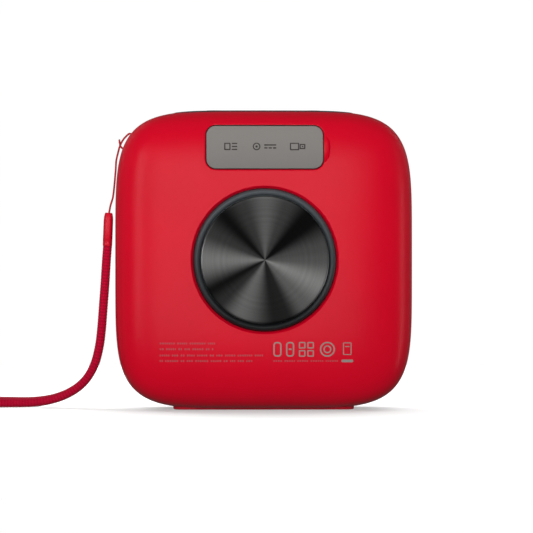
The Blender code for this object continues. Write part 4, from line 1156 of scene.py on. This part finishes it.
rows = [stroke for z, end in ((24.85, 17.8), (22.75, 18.5), (20.45, 0.3), (18.4, 4.3))
        for stroke in fine_row(38.5, z, end, 0.38)]
printed("rear_print_rows", rows + fine_row(-3.1, 18.4, -27.0, 0.33), print_finish)

MARK_Z = 22.7
marks = [
    frame_shape(-4.6, MARK_Z, 1.5, 2.7, 1.2, 0.5), frame_shape(-9.25, MARK_Z, 1.5, 2.7, 1.2, 0.5),
    bar_shape(-9.25, MARK_Z, 0.55, 0.26), ring_shape(-22.9, MARK_Z, 2.75, 0.5),
    ring_shape(-22.9, MARK_Z, 1.45, 0.45), frame_shape(-30.2, MARK_Z + 0.2, 1.55, 2.3, 0.4, 0.32),
    bar_shape(-30.2, MARK_Z + 1.0, 0.8, 0.17), bar_shape(-30.2, 18.42, 2.2, 0.5),
]
marks += [
    frame_shape(-15.2 + a, MARK_Z + b, 1.2, 1.2, 0.4, 0.42) for a in (-1.55, 1.55) for b in (-1.5, 1.5)
]
printed("rear_print_marks", marks, mark_finish)

# -------- stage, light

FLOOR_RADIUS, DOME_RADIUS = 460.0, 5.9
WHITE = (1, 1, 1, 1)

floor_finish = Finish(
    "floor_white", (0.3, 0.3, 0.3), 0.8, Emission_Color=WHITE, Emission_Strength=0.38, Specular_IOR_Level=0.0
)
floor_finish.vary_colour(floor_finish.noise(3.0), (0.295, 0.295, 0.295), (0.305, 0.305, 0.305))
around = full_turn(96)
floor = piece(
    "floor", np.stack([FLOOR_RADIUS * np.cos(around), FLOOR_RADIUS * np.sin(around), 0 * around], axis=1),
    [tuple(range(96))], floor_finish.made,
)
floor.visible_diffuse = floor.visible_glossy = False

# A white dome that only the camera sees.
dome_mesh = bmesh.new()
bmesh.ops.create_icosphere(dome_mesh, subdivisions=4, radius=DOME_RADIUS)
dome = bpy.data.objects.new("backdrop", bpy.data.meshes.new("backdrop"))
dome_mesh.to_mesh(dome.data)
dome_mesh.free()
scene.collection.objects.link(dome)
dome_finish = Finish("dome_white", (0, 0, 0), 0.5, Emission_Color=WHITE, Emission_Strength=1.0)
dome.data.materials.append(dome_finish.made)
dome.visible_diffuse = dome.visible_glossy = dome.visible_transmission = dome.visible_shadow = False

world = bpy.data.worlds.new("world")
scene.world = world
world.use_nodes = True
world.node_tree.nodes["Background"].inputs["Color"].default_value = WHITE
world.node_tree.nodes["Background"].inputs["Strength"].default_value = 0.10


def softbox(name, azimuth, elevation, distance, width, height, power, glossy):
    """An area light aimed at the case, at a bearing as the camera's is given."""
    light = bpy.data.lights.new(name, "AREA")
    light.shape = "RECTANGLE"
    light.size, light.size_y, light.energy = width, height, power
    made = bpy.data.objects.new(name, light)
    scene.collection.objects.link(made)
    away = bearing(azimuth, elevation)
    made.location = Vector((0, 0, 0.055)) + away * distance
    made.rotation_mode = "QUATERNION"
    made.rotation_quaternion = (-away).to_track_quat("-Z", "Y")
    made.visible_camera = False
    made.visible_glossy = glossy


# Name, azimuth, elevation, distance in metres, width, height, power, and whether it is seen in reflections.
for light_row in (
    ("key_panel", 165, 14, 1.6, 2.5, 0.8, 3.1, True),
    ("left_strip", 137, 10, 1.6, 0.3, 0.9, 2.2, True),
    ("rear_wash", 174, 6, 1.8, 1.2, 0.9, 26, False),
    ("left_wash", 90, 12, 1.8, 1.0, 1.2, 2.6, False),
    ("right_wash", 270, 12, 1.8, 1.0, 1.2, 3.2, False),
    ("overhead", 180, 88, 1.5, 1.4, 1.4, 0.6, False),
    ("right_fill", 261, -8, 1.5, 0.4, 0.8, 1.3, True),
    ("front_left", 40, 26, 1.8, 0.9, 1.1, 15, False),
    ("front_right", 320, 20, 1.8, 0.9, 1.1, 13, False),
):
    softbox(*light_row)

# A sun that lights only the floor, so its brightness and its shadow are set apart from the case's.
sun = bpy.data.objects.new("floor_sun", bpy.data.lights.new("floor_sun", "SUN"))
sun.data.energy, sun.data.angle = 10.0, math.radians(90)
sun.rotation_euler = (math.radians(38), 0, 0)
scene.collection.objects.link(sun)
lit = bpy.data.collections.new("lit_by_floor_sun")
lit.objects.link(floor)
sun.light_linking.receiver_collection = lit
